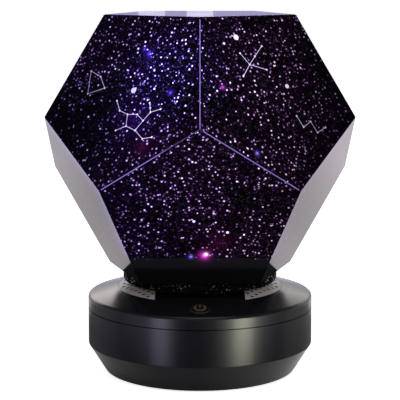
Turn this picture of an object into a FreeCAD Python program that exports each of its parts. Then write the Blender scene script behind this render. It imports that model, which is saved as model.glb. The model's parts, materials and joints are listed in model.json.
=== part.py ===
import FreeCAD, Part
import math
import os
import Sketcher

# A table-top planetarium lamp. A dodecahedral shell of printed panels stands on a turntable,
# which a small motor turns above a round base; a lamp on a fixed post shines from its centre.
# Millimetres. +Z is up, the front faces -Y, and the origin lies on the table under the axis.

GOLDEN = (1 + math.sqrt(5)) / 2
# A regular dodecahedron with edge 1: its inner radius, its face's corner and edge radii,
# and how far its faces lean from upright (degrees).
INNER_RADIUS = GOLDEN ** 2 / (2 * math.sqrt(3 - GOLDEN))
CORNER_RADIUS = 1 / (2 * math.sin(math.radians(36)))
EDGE_RADIUS = 1 / (2 * math.tan(math.radians(36)))
FACE_LEAN = math.degrees(math.atan(0.5))
MITRE = 90 - math.degrees(math.atan(GOLDEN))

DIMENSIONS = (
    ("shell_edge", 80, "edge of the dodecahedral shell"),
    ("shell_bottom", 71.9, "height of the shell's lowest plane"),
    ("seam_half", 0.35, "half of the gap between two panels, along the face"),
    ("panel_thick", 1.8, "thickness of a printed panel"),
    ("frame_thick", 2.4, "thickness of the clear frame's ribs"),
    ("rib_width", 5, "width of a rib from the edge, along the face"),
    ("ring_hole", 40, "radius of the opening in the shell's floor ring"),
    ("ring_edge", 52.4, "centre to flat of the floor ring"),
    ("peg_radius", 2.5, "locating pegs on the turntable"),
    ("peg_circle", 46, "radius of the circle of pegs"),
    ("peg_rise", 1.6, "height of the pegs"),
    ("peg_gap", 0.3, "clearance of a peg in the floor ring"),
    ("disc_radius", 54, "turntable disc"),
    ("disc_bottom", 64, "height of the disc's underside"),
    ("disc_top", 71.6, "height of the disc's top"),
    ("disc_web", 2.4, "thickness of the disc's web"),
    ("disc_rim", 4.6, "thickness of the disc's rim"),
    ("disc_rib", 1.6, "thickness of the ribs under the disc"),
    ("hub_radius", 16, "turntable hub, outside"),
    ("hub_bottom", 44.3, "lower end of the hub"),
    ("bush_radius", 12, "bearing bush, outside"),
    ("bush_flange", 15, "radius of the flange that carries the hub"),
    ("bush_gap", 0.05, "running clearance, hub on bush"),
    ("end_play", 0.1, "play of the hub between flange and collar"),
    ("collar_reach", 1.4, "how far the collar stands out over the bush"),
    ("collar_height", 2.6, "retaining collar"),
    ("post_radius", 8, "lamp post, outside"),
    ("post_bore", 6, "lamp post, inside"),
    ("post_top", 136, "upper end of the lamp post"),
    ("post_foot", 18, "radius of the post's foot flange"),
    ("post_foot_thick", 2, "thickness of the foot flange"),
    ("lamp_drop", 6, "rim of the lamp cup below the shell's centre"),
    ("cup_core", 11, "radius of the lamp cup between its fins"),
    ("cup_fin", 16, "radius of the lamp cup's fins"),
    ("cup_depth", 3, "depth of the cup's mouth"),
    ("lens_outside", 13.6, "radius of the lens's outer sphere"),
    ("lens_inside", 12.4, "radius of the lens's inner sphere"),
    ("lens_sunk", 0.7, "centre of the lens below the cup's rim"),
    ("lens_flange", 15.6, "radius of the lens's flange"),
    ("gear_module", 1, "tooth size of the drive"),
    ("gear_teeth", 48, "teeth of the turntable gear"),
    ("pinion_teeth", 16, "teeth of the drive pinion"),
    ("gear_floor", 45, "lower face of the turntable gear"),
    ("gear_width", 5, "face width of the turntable gear"),
    ("shaft_radius", 1.5, "motor shaft"),
    ("shaft_gap", 0.05, "running clearance of the shaft"),
    ("shaft_depth", 7.5, "length of the shaft inside the motor"),
    ("motor_radius", 12, "gear motor"),
    ("motor_height", 18, "gear motor"),
    ("nose_radius", 4, "boss round the shaft on the motor's face"),
    ("base_radius", 78.8, "wall of the base"),
    ("foot_radius", 66.8, "bottom of the chamfered foot"),
    ("floor_level", 1.2, "underside of the base above the table"),
    ("chamfer_top", 20.4, "top of the foot's chamfer"),
    ("seam_low", 45.4, "top edge of the lower housing"),
    ("seam_high", 46, "bottom edge of the upper housing"),
    ("wall", 2.4, "wall of both housings"),
    ("tongue_rise", 2.6, "tongue of the lower housing above the seam"),
    ("tongue_thick", 1.5, "thickness of the tongue"),
    ("tongue_gap", 0.1, "clearance of the tongue in the upper housing"),
    ("rim_round", 2.4, "rounding of the dome's rim"),
    ("edge_round", 1, "rounding of the foot's edges"),
    ("dome_top", 65.7, "height where the dome's sphere would meet the axis"),
    ("dome_radius", 280, "radius of the dome's sphere"),
    ("land_radius", 38, "flat land inside the dome"),
    ("hub_hole", 19, "hole in the dome for the hub"),
    ("grille_inner", 41, "inner radius of the grille's bed"),
    ("grille_outer", 57.5, "outer radius of the grille's bed"),
    ("bridge_half", 30.5, "half width of the bridge between the grilles"),
    ("grille_thick", 0.9, "grille sheet"),
    ("grille_play", 0.12, "clearance round the grille sheet"),
    ("ledge", 2, "ledge that the grille lies on"),
    ("punch_radius", 1.25, "holes of the grille"),
    ("punch_pitch", 6, "spacing of the grille's holes"),
    ("punch_margin", 0.6, "sheet left between a hole and the grille's edge"),
    ("button_place", 67, "distance of the power button from the axis"),
    ("button_radius", 7, "power button"),
    ("button_gap", 0.3, "clearance round the power button"),
    ("button_rise", 0.7, "power button above the dome"),
    ("button_skirt", 2.2, "lower edge of the button below the dome"),
    ("button_round", 0.7, "rounding of the button's edge"),
    ("button_crown", 80, "radius of the button's crown"),
    ("stem_radius", 1.6, "stem under the button"),
    ("stem_end", 6.4, "lower end of the stem below the dome"),
    ("switch_level", 12, "top of the switch board below the dome"),
    ("switch_half", 3, "half width of the tact switch"),
    ("speaker_place", 46, "distance of a speaker from the axis"),
    ("speaker_radius", 18, "speaker basket"),
    ("speaker_top", 53.5, "front rim of the speakers"),
    ("speaker_depth", 16, "speaker from rim to magnet"),
    ("magnet_radius", 11, "speaker magnet"),
    ("plate_level", 38, "underside of the mechanism plate"),
    ("plate_thick", 2, "mechanism plate"),
    ("plate_half", 22, "half width of the mechanism plate"),
    ("pillar_across", 18, "pillars from the middle plane"),
    ("pillar_radius", 3, "pillars of the mechanism plate"),
    ("boss_circle", 60, "circle of the housing screws"),
    ("boss_radius", 4, "screw bosses"),
    ("boss_top", 30, "top of the lower housing's bosses"),
    ("boss_rib", 1.4, "ribs that tie the bosses to the wall"),
    ("screw_radius", 1.5, "housing screws"),
    ("screw_gap", 0.1, "clearance of a screw in a boss"),
    ("screw_length", 33, "shank of a housing screw"),
    ("head_height", 1.3, "depth of the screws' sinkings"),
    ("cover_radius", 64, "base plate"),
    ("cover_thick", 2.1, "base plate"),
    ("cover_gap", 0.3, "clearance round the base plate"),
    ("cover_ledge", 3.5, "overlap of the ledge on the base plate"),
    ("foot_circle", 54, "circle of the rubber feet"),
    ("pad_radius", 6, "rubber feet"),
    ("pad_sunk", 0.6, "depth of the rubber feet in the base plate"),
    ("board_level", 9, "underside of the main board"),
    ("board_thick", 1.6, "main board"),
    ("board_half", 38, "half width of the main board"),
    ("board_near", 50, "front edge of the main board, in front of the axis"),
    ("board_far", 26, "back edge of the main board, in front of the axis"),
    ("small_board", 1.2, "thickness of the two small boards"),
    ("small_post", 2.5, "radius of the posts under the boards"),
    ("cell_radius", 9, "battery cell"),
    ("cell_length", 64, "battery cell"),
    ("cell_place", 54, "battery cell behind the axis"),
    ("cell_level", 16, "axis of the battery cell above the table"),
    ("saddle_place", 18, "saddles under the cell, from the middle plane"),
    ("inlet_level", 28.2, "underside of the inlet socket"),
    ("inlet_place", 69.5, "posts of the charge board behind the axis"),
    ("inlet_half", 4.45, "half width of the inlet socket"),
    ("inlet_height", 3.3, "inlet socket"),
    ("inlet_depth", 7.5, "inlet socket"),
    ("inlet_set_back", 0.9, "face of the inlet behind the wall's outside"),
)

doc = FreeCAD.newDocument("PlanetariumLamp")
sheet = doc.addObject("Spreadsheet::Sheet", "Size")
for row, (alias, amount, meaning) in enumerate(DIMENSIONS, 1):
    sheet.set(f"A{row}", meaning)
    sheet.set(f"B{row}", str(amount))
    sheet.setAlias(f"B{row}", alias)
doc.recompute()

# Heights and radii that several pieces share, as expressions on the sheet.
INRADIUS = f"Size.shell_edge * {INNER_RADIUS}"
SHELL_CENTRE = f"(Size.shell_bottom + {INRADIUS})"
DOME_CENTRE = "(Size.dome_top - Size.dome_radius)"
CHAMFER_SLOPE = "((Size.base_radius - Size.foot_radius) / (Size.chamfer_top - Size.floor_level))"
CHAMFER_SKIN = f"(Size.wall * sqrt(1 + {CHAMFER_SLOPE}^2))"
GEAR_PITCH = "(Size.gear_module * Size.gear_teeth / 2)"
PINION_PITCH = "(Size.gear_module * Size.pinion_teeth / 2)"
MOTOR_PLACE = f"({GEAR_PITCH} + {PINION_PITCH})"
PLATE_TOP = "(Size.plate_level + Size.plate_thick)"
COVER_TOP = "(Size.floor_level + Size.cover_thick)"
CUP_TOP = f"({SHELL_CENTRE} - Size.lamp_drop)"

nodes = []


def amount_of(expression):
    """The number that an expression on the sheet gives."""
    return float(sheet.evalExpression(expression))


def on_dome(radius, depth="0"):
    """Height of the dome's sphere at a radius, or of the sphere that lies depth under it."""
    return f"({DOME_CENTRE} + sqrt((Size.dome_radius - ({depth}))^2 - ({radius})^2))"


def plane(body, role):
    """One of the body's own origin planes."""
    return next(item for item in body.Origin.OriginFeatures if item.Role == role)


def new_body(label):
    """A body that is a piece of the product; its label is the piece's name."""
    body = doc.addObject("PartDesign::Body", label)
    body.Label = label
    body.AllowCompound = True
    return body


def keep(piece, label=None):
    """Names a finished piece and puts it on the list of what is written out."""
    if label:
        piece.Label = label
    nodes.append(piece)


def new_sketch(body, role, height="0"):
    """An empty sketch on one of the body's origin planes, or at a height above it."""
    sketch = body.newObject("Sketcher::SketchObject", "Sketch")
    sketch.AttachmentSupport = (plane(body, role), "")
    sketch.MapMode = "FlatFace"
    sketch.setExpression("AttachmentOffset.Base.z", height)
    return sketch


def pin(sketch, element, point, across, up):
    """Fixes a sketch point at two expressions."""
    for kind, expression, axis in (("DistanceX", across, -2), ("DistanceY", up, -1)):
        distance = amount_of(expression)
        if abs(distance) < 1e-9:
            sketch.addConstraint(Sketcher.Constraint("PointOnObject", element, point, axis))
            continue
        index = sketch.addConstraint(Sketcher.Constraint(kind, -1, 1, element, point, distance))
        sketch.setExpression(f"Constraints[{index}]", expression)


def arc_between(start, end, radius):
    """The short arc from start to end; a positive radius bulges to the left of the way there."""
    chord = end - start
    left = FreeCAD.Vector(-chord.y, chord.x, 0).normalize()
    rise = abs(radius) - math.sqrt(radius ** 2 - (chord.Length / 2) ** 2)
    middle = (start + end) / 2 + left * math.copysign(rise, radius)
    return Part.Arc(start, middle, end)


def outline(sketch, corners, arcs=None):
    """A closed outline through corners, each two expressions. arcs maps the number of a side
    to the expression of its radius, positive where the side bulges to the left."""
    arcs = arcs or {}
    places = [FreeCAD.Vector(amount_of(across), amount_of(up), 0) for across, up in corners]
    ends = []
    for side, start in enumerate(places):
        end = places[(side + 1) % len(places)]
        if side not in arcs:
            element = sketch.addGeometry(Part.LineSegment(start, end), False)
            ends.append((element, 1, 2))
            continue
        radius = amount_of(arcs[side])
        element = sketch.addGeometry(arc_between(start, end, radius), False)
        swapped = sketch.getPoint(element, 1).distanceToPoint(start) > 1e-4
        ends.append((element, 2, 1) if swapped else (element, 1, 2))
        index = sketch.addConstraint(Sketcher.Constraint("Radius", element, abs(radius)))
        sketch.setExpression(f"Constraints[{index}]", f"abs({arcs[side]})")
    for side, (element, start, end) in enumerate(ends):
        follower, opening, _ = ends[(side + 1) % len(ends)]
        sketch.addConstraint(Sketcher.Constraint("Coincident", element, end, follower, opening))
    for (element, start, end), (across, up) in zip(ends, corners):
        pin(sketch, element, start, across, up)


def circle(sketch, radius, across="0", up="0"):
    """A circle with its centre at two expressions."""
    place = FreeCAD.Vector(amount_of(across), amount_of(up), 0)
    element = sketch.addGeometry(Part.Circle(place, FreeCAD.Vector(0, 0, 1), amount_of(radius)), False)
    index = sketch.addConstraint(Sketcher.Constraint("Radius", element, amount_of(radius)))
    sketch.setExpression(f"Constraints[{index}]", radius)
    if abs(place.x) + abs(place.y) < 1e-9:
        sketch.addConstraint(Sketcher.Constraint("Coincident", element, 3, -1, 1))
    else:
        pin(sketch, element, 3, across, up)


def rectangle(sketch, left, right, low, high):
    """An upright rectangle between four expressions."""
    outline(sketch, [(left, low), (right, low), (right, high), (left, high)])


def regular_pentagon(sketch, corner_radius):
    """A pentagon round the origin with one corner on the sketch's upward axis."""
    radius = amount_of(corner_radius)
    turn = math.radians(72)
    places = [FreeCAD.Vector(-radius * math.sin(turn * k), radius * math.cos(turn * k), 0) for k in range(5)]
    for side in range(5):
        sketch.addGeometry(Part.LineSegment(places[side], places[(side + 1) % 5]), False)
    ring = sketch.addGeometry(Part.Circle(FreeCAD.Vector(), FreeCAD.Vector(0, 0, 1), radius), True)
    sketch.addConstraint(Sketcher.Constraint("Coincident", ring, 3, -1, 1))
    for side in range(5):
        sketch.addConstraint(Sketcher.Constraint("Coincident", side, 2, (side + 1) % 5, 1))
        sketch.addConstraint(Sketcher.Constraint("PointOnObject", side, 1, ring))
    for side in range(4):
        sketch.addConstraint(Sketcher.Constraint("Equal", side, side + 1))
    sketch.addConstraint(Sketcher.Constraint("PointOnObject", 0, 1, -2))
    index = sketch.addConstraint(Sketcher.Constraint("Radius", ring, radius))
    sketch.setExpression(f"Constraints[{index}]", corner_radius)


def revolve(body, corners, arcs=None):
    """Turns a profile of radius and height round the body's upright axis."""
    sketch = new_sketch(body, "XZ_Plane")
    outline(sketch, corners, arcs)
    turned = body.newObject("PartDesign::Revolution", "Revolution")
    turned.Profile = sketch
    turned.ReferenceAxis = (sketch, ["V_Axis"])
    turned.Angle = 360
    return turned


def pad(body, sketch, length):
    """Raises a sketch along its plane's normal."""
    raised = body.newObject("PartDesign::Pad", "Pad")
    raised.Profile = sketch
    raised.setExpression("Length", length)
    return raised


def pocket(body, sketch, depth):
    """Cuts a sketch down into the body, against its plane's normal."""
    cut = body.newObject("PartDesign::Pocket", "Pocket")
    cut.Profile = sketch
    cut.setExpression("Length", depth)
    return cut


def polar(body, feature, count):
    """Repeats a feature round the body's upright axis."""
    doc.recompute()
    pattern = body.newObject("PartDesign::PolarPattern", "PolarPattern")
    pattern.Originals = [feature]
    pattern.Axis = (feature.Profile[0], ["N_Axis"])
    pattern.Angle = 360
    pattern.Occurrences = count
    body.Tip = pattern
    return pattern


def round_rims(body, radius, rims):
    """Rounds the circular rims that lie at the given pairs of radius and height."""
    doc.recompute()
    places = [(amount_of(across), amount_of(up)) for across, up in rims]
    names = []
    for number, edge in enumerate(body.Tip.Shape.Edges, 1):
        if not isinstance(edge.Curve, Part.Circle):
            continue
        middle = edge.Curve.Center
        for across, up in places:
            if abs(edge.Curve.Radius - across) < 1e-3 and abs(middle.z - up) < 1e-3:
                names.append(f"Edge{number}")
    base = body.Tip
    fillet = body.newObject("PartDesign::Fillet", "Fillet")
    fillet.Base = (base, names)
    fillet.setExpression("Radius", radius)
    return fillet


def solid_cylinder(radius, height, low, across="0", back="0"):
    """A plain upright cylinder from a height upwards."""
    tool = doc.addObject("Part::Cylinder", "Cylinder")
    tool.setExpression("Radius", radius)
    tool.setExpression("Height", height)
    tool.setExpression("Placement.Base.x", across)
    tool.setExpression("Placement.Base.y", back)
    tool.setExpression("Placement.Base.z", low)
    return tool


def block(left, right, near, far, low, high):
    """A plain box between six expressions."""
    tool = doc.addObject("Part::Box", "Box")
    for side, start, end in (("Length", left, right), ("Width", near, far), ("Height", low, high)):
        tool.setExpression(side, f"({end}) - ({start})")
    for axis, start in (("x", left), ("y", near), ("z", low)):
        tool.setExpression(f"Placement.Base.{axis}", start)
    return tool


def join(*pieces):
    """One solid out of several."""
    fused = doc.addObject("Part::MultiFuse", "Fusion")
    fused.Shapes = list(pieces)
    return fused


def cut_away(base, *tools):
    """The base without the tools."""
    result = doc.addObject("Part::Cut", "Cut")
    result.Base = base
    result.Tool = tools[0] if len(tools) == 1 else join(*tools)
    return result


def shared(first, second):
    """What two solids have in common."""
    result = doc.addObject("Part::Common", "Common")
    result.Base = first
    result.Tool = second
    return result


def lean_to_button(piece):
    """Sets a piece in the frame of the power button: its upward axis runs from the centre of
    the dome's sphere through the button."""
    piece.Placement = FreeCAD.Placement(FreeCAD.Vector(), FreeCAD.Rotation(FreeCAD.Vector(1, 0, 0), 1))
    piece.setExpression("Placement.Base.z", DOME_CENTRE)
    piece.setExpression("Placement.Rotation.Angle", "asin(Size.button_place / Size.dome_radius)")


# ---------------------------------------------------------------- lower housing
# One moulding: upright wall, chamfered foot, a ledge for the base plate, a tongue that enters
# the upper housing, four screw bosses, two posts for the charge board and the inlet's slot.
BOSS_ACROSS = "(Size.boss_circle * cos(45deg))"
BOSS_PLACES = []
for left in (1, -1):
    for front in (1, -1):
        BOSS_PLACES.append((f"{left} * {BOSS_ACROSS}", f"{front} * {BOSS_ACROSS}"))
LEDGE_TOP = f"({COVER_TOP} + Size.wall)"
SKIRT_WALL = "(Size.base_radius - Size.wall - Size.tongue_gap)"
INLET_POSTS = ("-9", "9")
FAR = "100"


def inner_chamfer(height):
    """Inside radius of the chamfered foot at a height."""
    return f"Size.foot_radius + ({height} - Size.floor_level) * {CHAMFER_SLOPE} - {CHAMFER_SKIN}"


def make_lower_housing():
    inner_wall = "(Size.base_radius - Size.wall)"
    inner_bend = f"({inner_wall} + {CHAMFER_SKIN} - Size.foot_radius) / {CHAMFER_SLOPE} + Size.floor_level"
    tongue_top = "Size.seam_high + Size.tongue_rise"
    tongue_out = f"{SKIRT_WALL} - Size.tongue_gap"
    tongue_in = f"{tongue_out} - Size.tongue_thick"
    ledge_edge = "Size.cover_radius - Size.cover_ledge"
    cover_edge = "Size.cover_radius + Size.cover_gap"
    shell = new_body("lower_shell")
    corners = [
        ("Size.foot_radius", "Size.floor_level"),
        ("Size.base_radius", "Size.chamfer_top"),
        ("Size.base_radius", "Size.seam_low"),
        (tongue_out, "Size.seam_low"),
        (tongue_out, tongue_top),
        (tongue_in, tongue_top),
        (tongue_in, "Size.seam_low - Size.wall"),
        (inner_wall, "Size.seam_low - Size.wall * 2"),
        (inner_wall, inner_bend),
        (inner_chamfer(LEDGE_TOP), LEDGE_TOP),
        (ledge_edge, LEDGE_TOP),
        (ledge_edge, COVER_TOP),
        (cover_edge, COVER_TOP),
        (cover_edge, "Size.floor_level"),
    ]
    revolve(shell, corners)
    rims = [("Size.base_radius", "Size.chamfer_top"), ("Size.foot_radius", "Size.floor_level")]
    round_rims(shell, "Size.edge_round", rims)
    # The bosses stand on the ledge, and a rib ties each to the wall.
    fittings = new_body("lower_fittings")
    bosses = new_sketch(fittings, "XY_Plane", COVER_TOP)
    circle(bosses, "Size.boss_radius", BOSS_ACROSS, BOSS_ACROSS)
    boss = pad(fittings, bosses, f"Size.boss_top - {COVER_TOP}")
    polar(fittings, boss, 4)
    ribs = new_sketch(fittings, "XY_Plane", LEDGE_TOP)
    near = "(Size.boss_circle + Size.boss_radius / 2) * cos(45deg)"
    far = "Size.base_radius * cos(45deg)"
    half = "Size.boss_rib / 2"
    rib_corners = [
        (f"{near} + {half}", f"{near} - {half}"),
        (f"{far} + {half}", f"{far} - {half}"),
        (f"{far} - {half}", f"{far} + {half}"),
        (f"{near} - {half}", f"{near} + {half}"),
    ]
    outline(ribs, rib_corners)
    rib = pad(fittings, ribs, f"(Size.boss_top - {COVER_TOP}) / 2")
    polar(fittings, rib, 4)
    posts = new_sketch(fittings, "XY_Plane", LEDGE_TOP)
    for across in INLET_POSTS:
        circle(posts, "Size.small_post", across, "Size.inlet_place")
    pad(fittings, posts, f"Size.inlet_level - Size.small_board - {LEDGE_TOP}")
    # Ribs and posts end inside the wall's thickness.
    envelope = new_body("lower_envelope")
    envelope_corners = [
        ("0", "Size.floor_level"),
        ("Size.foot_radius - Size.wall / 2", "Size.floor_level"),
        ("Size.base_radius - Size.wall / 2", "Size.chamfer_top"),
        ("Size.base_radius - Size.wall / 2", "Size.seam_low"),
        ("0", "Size.seam_low"),
    ]
    revolve(envelope, envelope_corners)
    whole = join(shell, shared(fittings, envelope))
    screw_ways = []
    for place in BOSS_PLACES:
        screw_ways.append(solid_cylinder("Size.screw_radius + Size.screw_gap", FAR, "0", *place))
    across = "Size.inlet_half + 0.75"
    slot = block(f"-({across})", across, "Size.base_radius - Size.wall * 3", "Size.base_radius + Size.wall",
                 "Size.inlet_level - 0.5", "Size.inlet_level + Size.inlet_height + 0.5")
    keep(cut_away(whole, slot, *screw_ways), "lower_housing")


# ---------------------------------------------------------------- base plate, feet and screws
# A flat cover closes the base from below. Four sunk screws go up through it and the bosses;
# it carries the board's posts, the battery's saddles and the rubber feet.
HEAD_TOP = "(Size.floor_level + Size.head_height)"
HEAD_RADIUS = "(Size.screw_radius * 2)"
PAD_TOP = "(Size.floor_level + Size.pad_sunk)"
BOARD_POSTS = [(across, back) for across in ("-34", "34") for back in ("-46", "-30")]


def lying_cylinder(radius, left, right):
    """A plain cylinder on the battery's axis, which lies level behind the middle."""
    tool = doc.addObject("Part::Cylinder", "Cylinder")
    tool.Placement = FreeCAD.Placement(FreeCAD.Vector(), FreeCAD.Rotation(FreeCAD.Vector(0, 1, 0), 90))
    tool.setExpression("Radius", radius)
    tool.setExpression("Height", f"({right}) - ({left})")
    tool.setExpression("Placement.Base.x", left)
    tool.setExpression("Placement.Base.y", "Size.cell_place")
    tool.setExpression("Placement.Base.z", "Size.cell_level")
    return tool


def make_base_plate():
    body = new_body("base_plate_blank")
    disc = new_sketch(body, "XY_Plane", "Size.floor_level")
    circle(disc, "Size.cover_radius")
    pad(body, disc, "Size.cover_thick")
    posts = new_sketch(body, "XY_Plane", COVER_TOP)
    for across, back in BOARD_POSTS:
        circle(posts, "Size.small_post", across, back)
    pad(body, posts, f"Size.board_level - {COVER_TOP}")
    saddles = new_sketch(body, "XY_Plane", COVER_TOP)
    half = "1.5"
    for middle in ("-Size.saddle_place", "Size.saddle_place"):
        near = "Size.cell_place - Size.cell_radius * 2 / 3"
        rectangle(saddles, f"{middle} - {half}", f"{middle} + {half}", near, "Size.cell_place + 2")
    pad(body, saddles, f"Size.cell_level - Size.cell_radius / 2 - {COVER_TOP}")
    holes = []
    below = "Size.floor_level - 1"
    for place in BOSS_PLACES:
        sinking = f"{HEAD_RADIUS} + Size.screw_gap * 2"
        holes.append(solid_cylinder("Size.screw_radius + Size.screw_gap", "10", "0", *place))
        holes.append(solid_cylinder(sinking, f"{HEAD_TOP} - ({below})", below, *place))
    for side in ("-", ""):
        for foot in ((f"{side}Size.foot_circle", "0"), ("0", f"{side}Size.foot_circle")):
            holes.append(solid_cylinder("Size.pad_radius + 0.1", f"{PAD_TOP} - ({below})", below, *foot))
    room = lying_cylinder("Size.cell_radius", "-Size.cell_length", "Size.cell_length")
    keep(cut_away(body, room, *holes), "base_plate")


def make_feet():
    body = new_body("rubber_feet")
    sketch = new_sketch(body, "XY_Plane")
    circle(sketch, "Size.pad_radius", "Size.foot_circle", "0")
    feet = pad(body, sketch, PAD_TOP)
    polar(body, feet, 4)
    keep(body)


def make_screws():
    """Flat heads, just inside their sinkings, with a driver slot each."""
    body = new_body("base_screws")
    sunk = "0.1"
    heads = new_sketch(body, "XY_Plane", f"Size.floor_level + {sunk}")
    circle(heads, HEAD_RADIUS, BOSS_ACROSS, BOSS_ACROSS)
    head = pad(body, heads, f"Size.head_height - {sunk}")
    polar(body, head, 4)
    shanks = new_sketch(body, "XY_Plane", HEAD_TOP)
    circle(shanks, "Size.screw_radius", BOSS_ACROSS, BOSS_ACROSS)
    shank = pad(body, shanks, "Size.screw_length")
    polar(body, shank, 4)
    slots = new_sketch(body, "XY_Plane", f"{HEAD_TOP} - Size.head_height / 2")
    long_half = "2"
    thin_half = "0.4"
    rectangle(slots, f"{BOSS_ACROSS} - {long_half}", f"{BOSS_ACROSS} + {long_half}",
              f"{BOSS_ACROSS} - {thin_half}", f"{BOSS_ACROSS} + {thin_half}")
    slot = pocket(body, slots, "Size.head_height")
    polar(body, slot, 4)
    keep(body)


# ---------------------------------------------------------------- upper housing and grilles
# The domed top. Its outside is a spherical cap with a flat land round the hub hole. A segment
# of the dome on each side is sunk for a perforated sheet and open under it for the speaker.
SEGMENT_FLOOR = "(Size.dome_top - 25)"


def segment_sketch(body, inner, outer, bridge):
    """Both ring segments, cut straight at a distance from the middle plane."""
    sketch = new_sketch(body, "XY_Plane", SEGMENT_FLOOR)
    outer_end = f"sqrt(({outer})^2 - ({bridge})^2)"
    inner_end = f"sqrt(({inner})^2 - ({bridge})^2)"
    for side in (1, -1):
        corners = [
            (f"{side} * ({bridge})", f"-{side} * {outer_end}"),
            (f"{side} * ({bridge})", f"-{side} * {inner_end}"),
            (f"{side} * ({bridge})", f"{side} * {inner_end}"),
            (f"{side} * ({bridge})", f"{side} * {outer_end}"),
        ]
        outline(sketch, corners, {1: f"-({inner})", 3: outer})
    return sketch


def segment_blocks(label, inner, outer, bridge):
    """Upright prisms over both ring segments."""
    body = new_body(label)
    pad(body, segment_sketch(body, inner, outer, bridge), FAR)
    return body


def dome_layer(label, top_depth, bottom_depth):
    """A layer of the dome between two depths under its surface."""
    body = new_body(label)
    inner = "(Size.grille_inner - Size.ledge)"
    outer = "(Size.grille_outer + Size.ledge)"
    corners = [
        (outer, on_dome(outer, top_depth)),
        (inner, on_dome(inner, top_depth)),
        (inner, on_dome(inner, bottom_depth)),
        (outer, on_dome(outer, bottom_depth)),
    ]
    arcs = {0: f"-(Size.dome_radius - ({top_depth}))", 2: f"(Size.dome_radius - ({bottom_depth}))"}
    revolve(body, corners, arcs)
    return body


def make_upper_housing():
    land_floor = on_dome("Size.land_radius", "Size.wall")
    land_top = on_dome("Size.land_radius")
    shell = new_body("dome_shell")
    corners = [
        ("Size.base_radius", "Size.seam_high"),
        ("Size.base_radius", on_dome("Size.base_radius")),
        ("Size.land_radius", land_top),
        ("Size.hub_hole", land_top),
        ("Size.hub_hole", land_floor),
        ("Size.land_radius", land_floor),
        (SKIRT_WALL, on_dome(SKIRT_WALL, "Size.wall")),
        (SKIRT_WALL, "Size.seam_high"),
    ]
    revolve(shell, corners, {1: "-Size.dome_radius", 5: "Size.dome_radius - Size.wall"})
    round_rims(shell, "Size.rim_round", [("Size.base_radius", on_dome("Size.base_radius"))])
    # Posts and rings under the dome end inside its thickness.
    core = new_body("dome_core")
    middle = "Size.wall / 2"
    core_edge = f"Size.base_radius - {middle}"
    core_corners = [
        ("0", "0"),
        (core_edge, "0"),
        (core_edge, on_dome(core_edge, middle)),
        ("Size.land_radius", on_dome("Size.land_radius", middle)),
        ("0", on_dome("Size.land_radius", middle)),
    ]
    revolve(core, core_corners, {2: "-(Size.dome_radius - Size.wall / 2)"})
    posts = new_body("dome_posts")
    sketch = new_sketch(posts, "XY_Plane", "Size.boss_top + 0.1")
    circle(sketch, "Size.boss_radius", BOSS_ACROSS, BOSS_ACROSS)
    post = pad(posts, sketch, FAR)
    polar(posts, post, 4)
    rings = new_body("speaker_seats")
    sketch = new_sketch(rings, "XY_Plane", "Size.speaker_top")
    for side in ("", "-"):
        circle(sketch, "Size.speaker_radius + 1.2", f"{side}Size.speaker_place", "0")
        circle(sketch, "Size.speaker_radius - 1.4", f"{side}Size.speaker_place", "0")
    pad(rings, sketch, "Size.dome_top - Size.speaker_top")
    board_posts = new_body("switch_posts")
    sketch = new_sketch(board_posts, "XY_Plane", "Size.dome_radius - Size.switch_level")
    for across in ("-10.5", "10.5"):
        circle(sketch, "Size.small_post - 0.3", across, "0")
    pad(board_posts, sketch, "Size.switch_level")
    lean_to_button(board_posts)
    inside = shared(join(posts, rings, board_posts), core)
    bed_layer = dome_layer("bed_layer", "-Size.grille_thick", "Size.grille_thick")
    bed_blocks = segment_blocks("bed_blocks", "Size.grille_inner", "Size.grille_outer", "Size.bridge_half")
    bed = shared(bed_layer, bed_blocks)
    window = segment_blocks("windows", "Size.grille_inner + Size.ledge", "Size.grille_outer - Size.ledge",
                            "Size.bridge_half + Size.ledge")
    button_hole = new_body("button_hole")
    sketch = new_sketch(button_hole, "XY_Plane", "Size.dome_radius - Size.wall * 2")
    circle(sketch, "Size.button_radius + Size.button_gap")
    pad(button_hole, sketch, "Size.wall * 4")
    lean_to_button(button_hole)
    screw_ways = []
    for place in BOSS_PLACES:
        depth = f"{HEAD_TOP} + Size.screw_length + 1 - Size.boss_top"
        screw_ways.append(solid_cylinder("Size.screw_radius", depth, "Size.boss_top", *place))
    whole = join(shell, inside)
    keep(cut_away(whole, bed, window, button_hole, *screw_ways), "upper_housing")


def make_grilles():
    """Perforated sheet, pressed to the dome's curve; its holes stand in staggered rows."""
    inner = "(Size.grille_inner + Size.grille_play)"
    outer = "(Size.grille_outer - Size.grille_play)"
    bridge = "(Size.bridge_half + Size.grille_play)"
    layer = dome_layer("grille_layer", "0", "Size.grille_thick")
    sheets = shared(layer, segment_blocks("grille_blanks", inner, outer, bridge))
    pitch = amount_of("Size.punch_pitch")
    row_pitch = pitch * math.sin(math.radians(60))
    margin = amount_of("Size.punch_radius + Size.punch_margin")
    low = amount_of(inner) + margin
    high = amount_of(outer) - margin
    edge = amount_of(bridge) + margin
    rows = int(high / row_pitch)
    columns = int((high - edge) / pitch) + 2
    for name, side in (("grille_left", -1), ("grille_right", 1)):
        punch = new_body(name + "_punch")
        sketch = new_sketch(punch, "XY_Plane", SEGMENT_FLOOR)
        for row in range(-rows, rows + 1):
            shift = 0 if row % 2 else -pitch / 2
            for column in range(columns):
                across = edge + shift + column * pitch
                radius = math.hypot(across, row * row_pitch)
                if low <= radius <= high and across >= edge:
                    circle(sketch, "Size.punch_radius", f"{side * across}", f"{row * row_pitch}")
        pad(punch, sketch, FAR)
        half = block(f"{min(0, side)} * {FAR}", f"{max(0, side)} * {FAR}", f"-{FAR}", FAR, "0", FAR)
        keep(cut_away(shared(sheets, half), punch), name)


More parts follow.
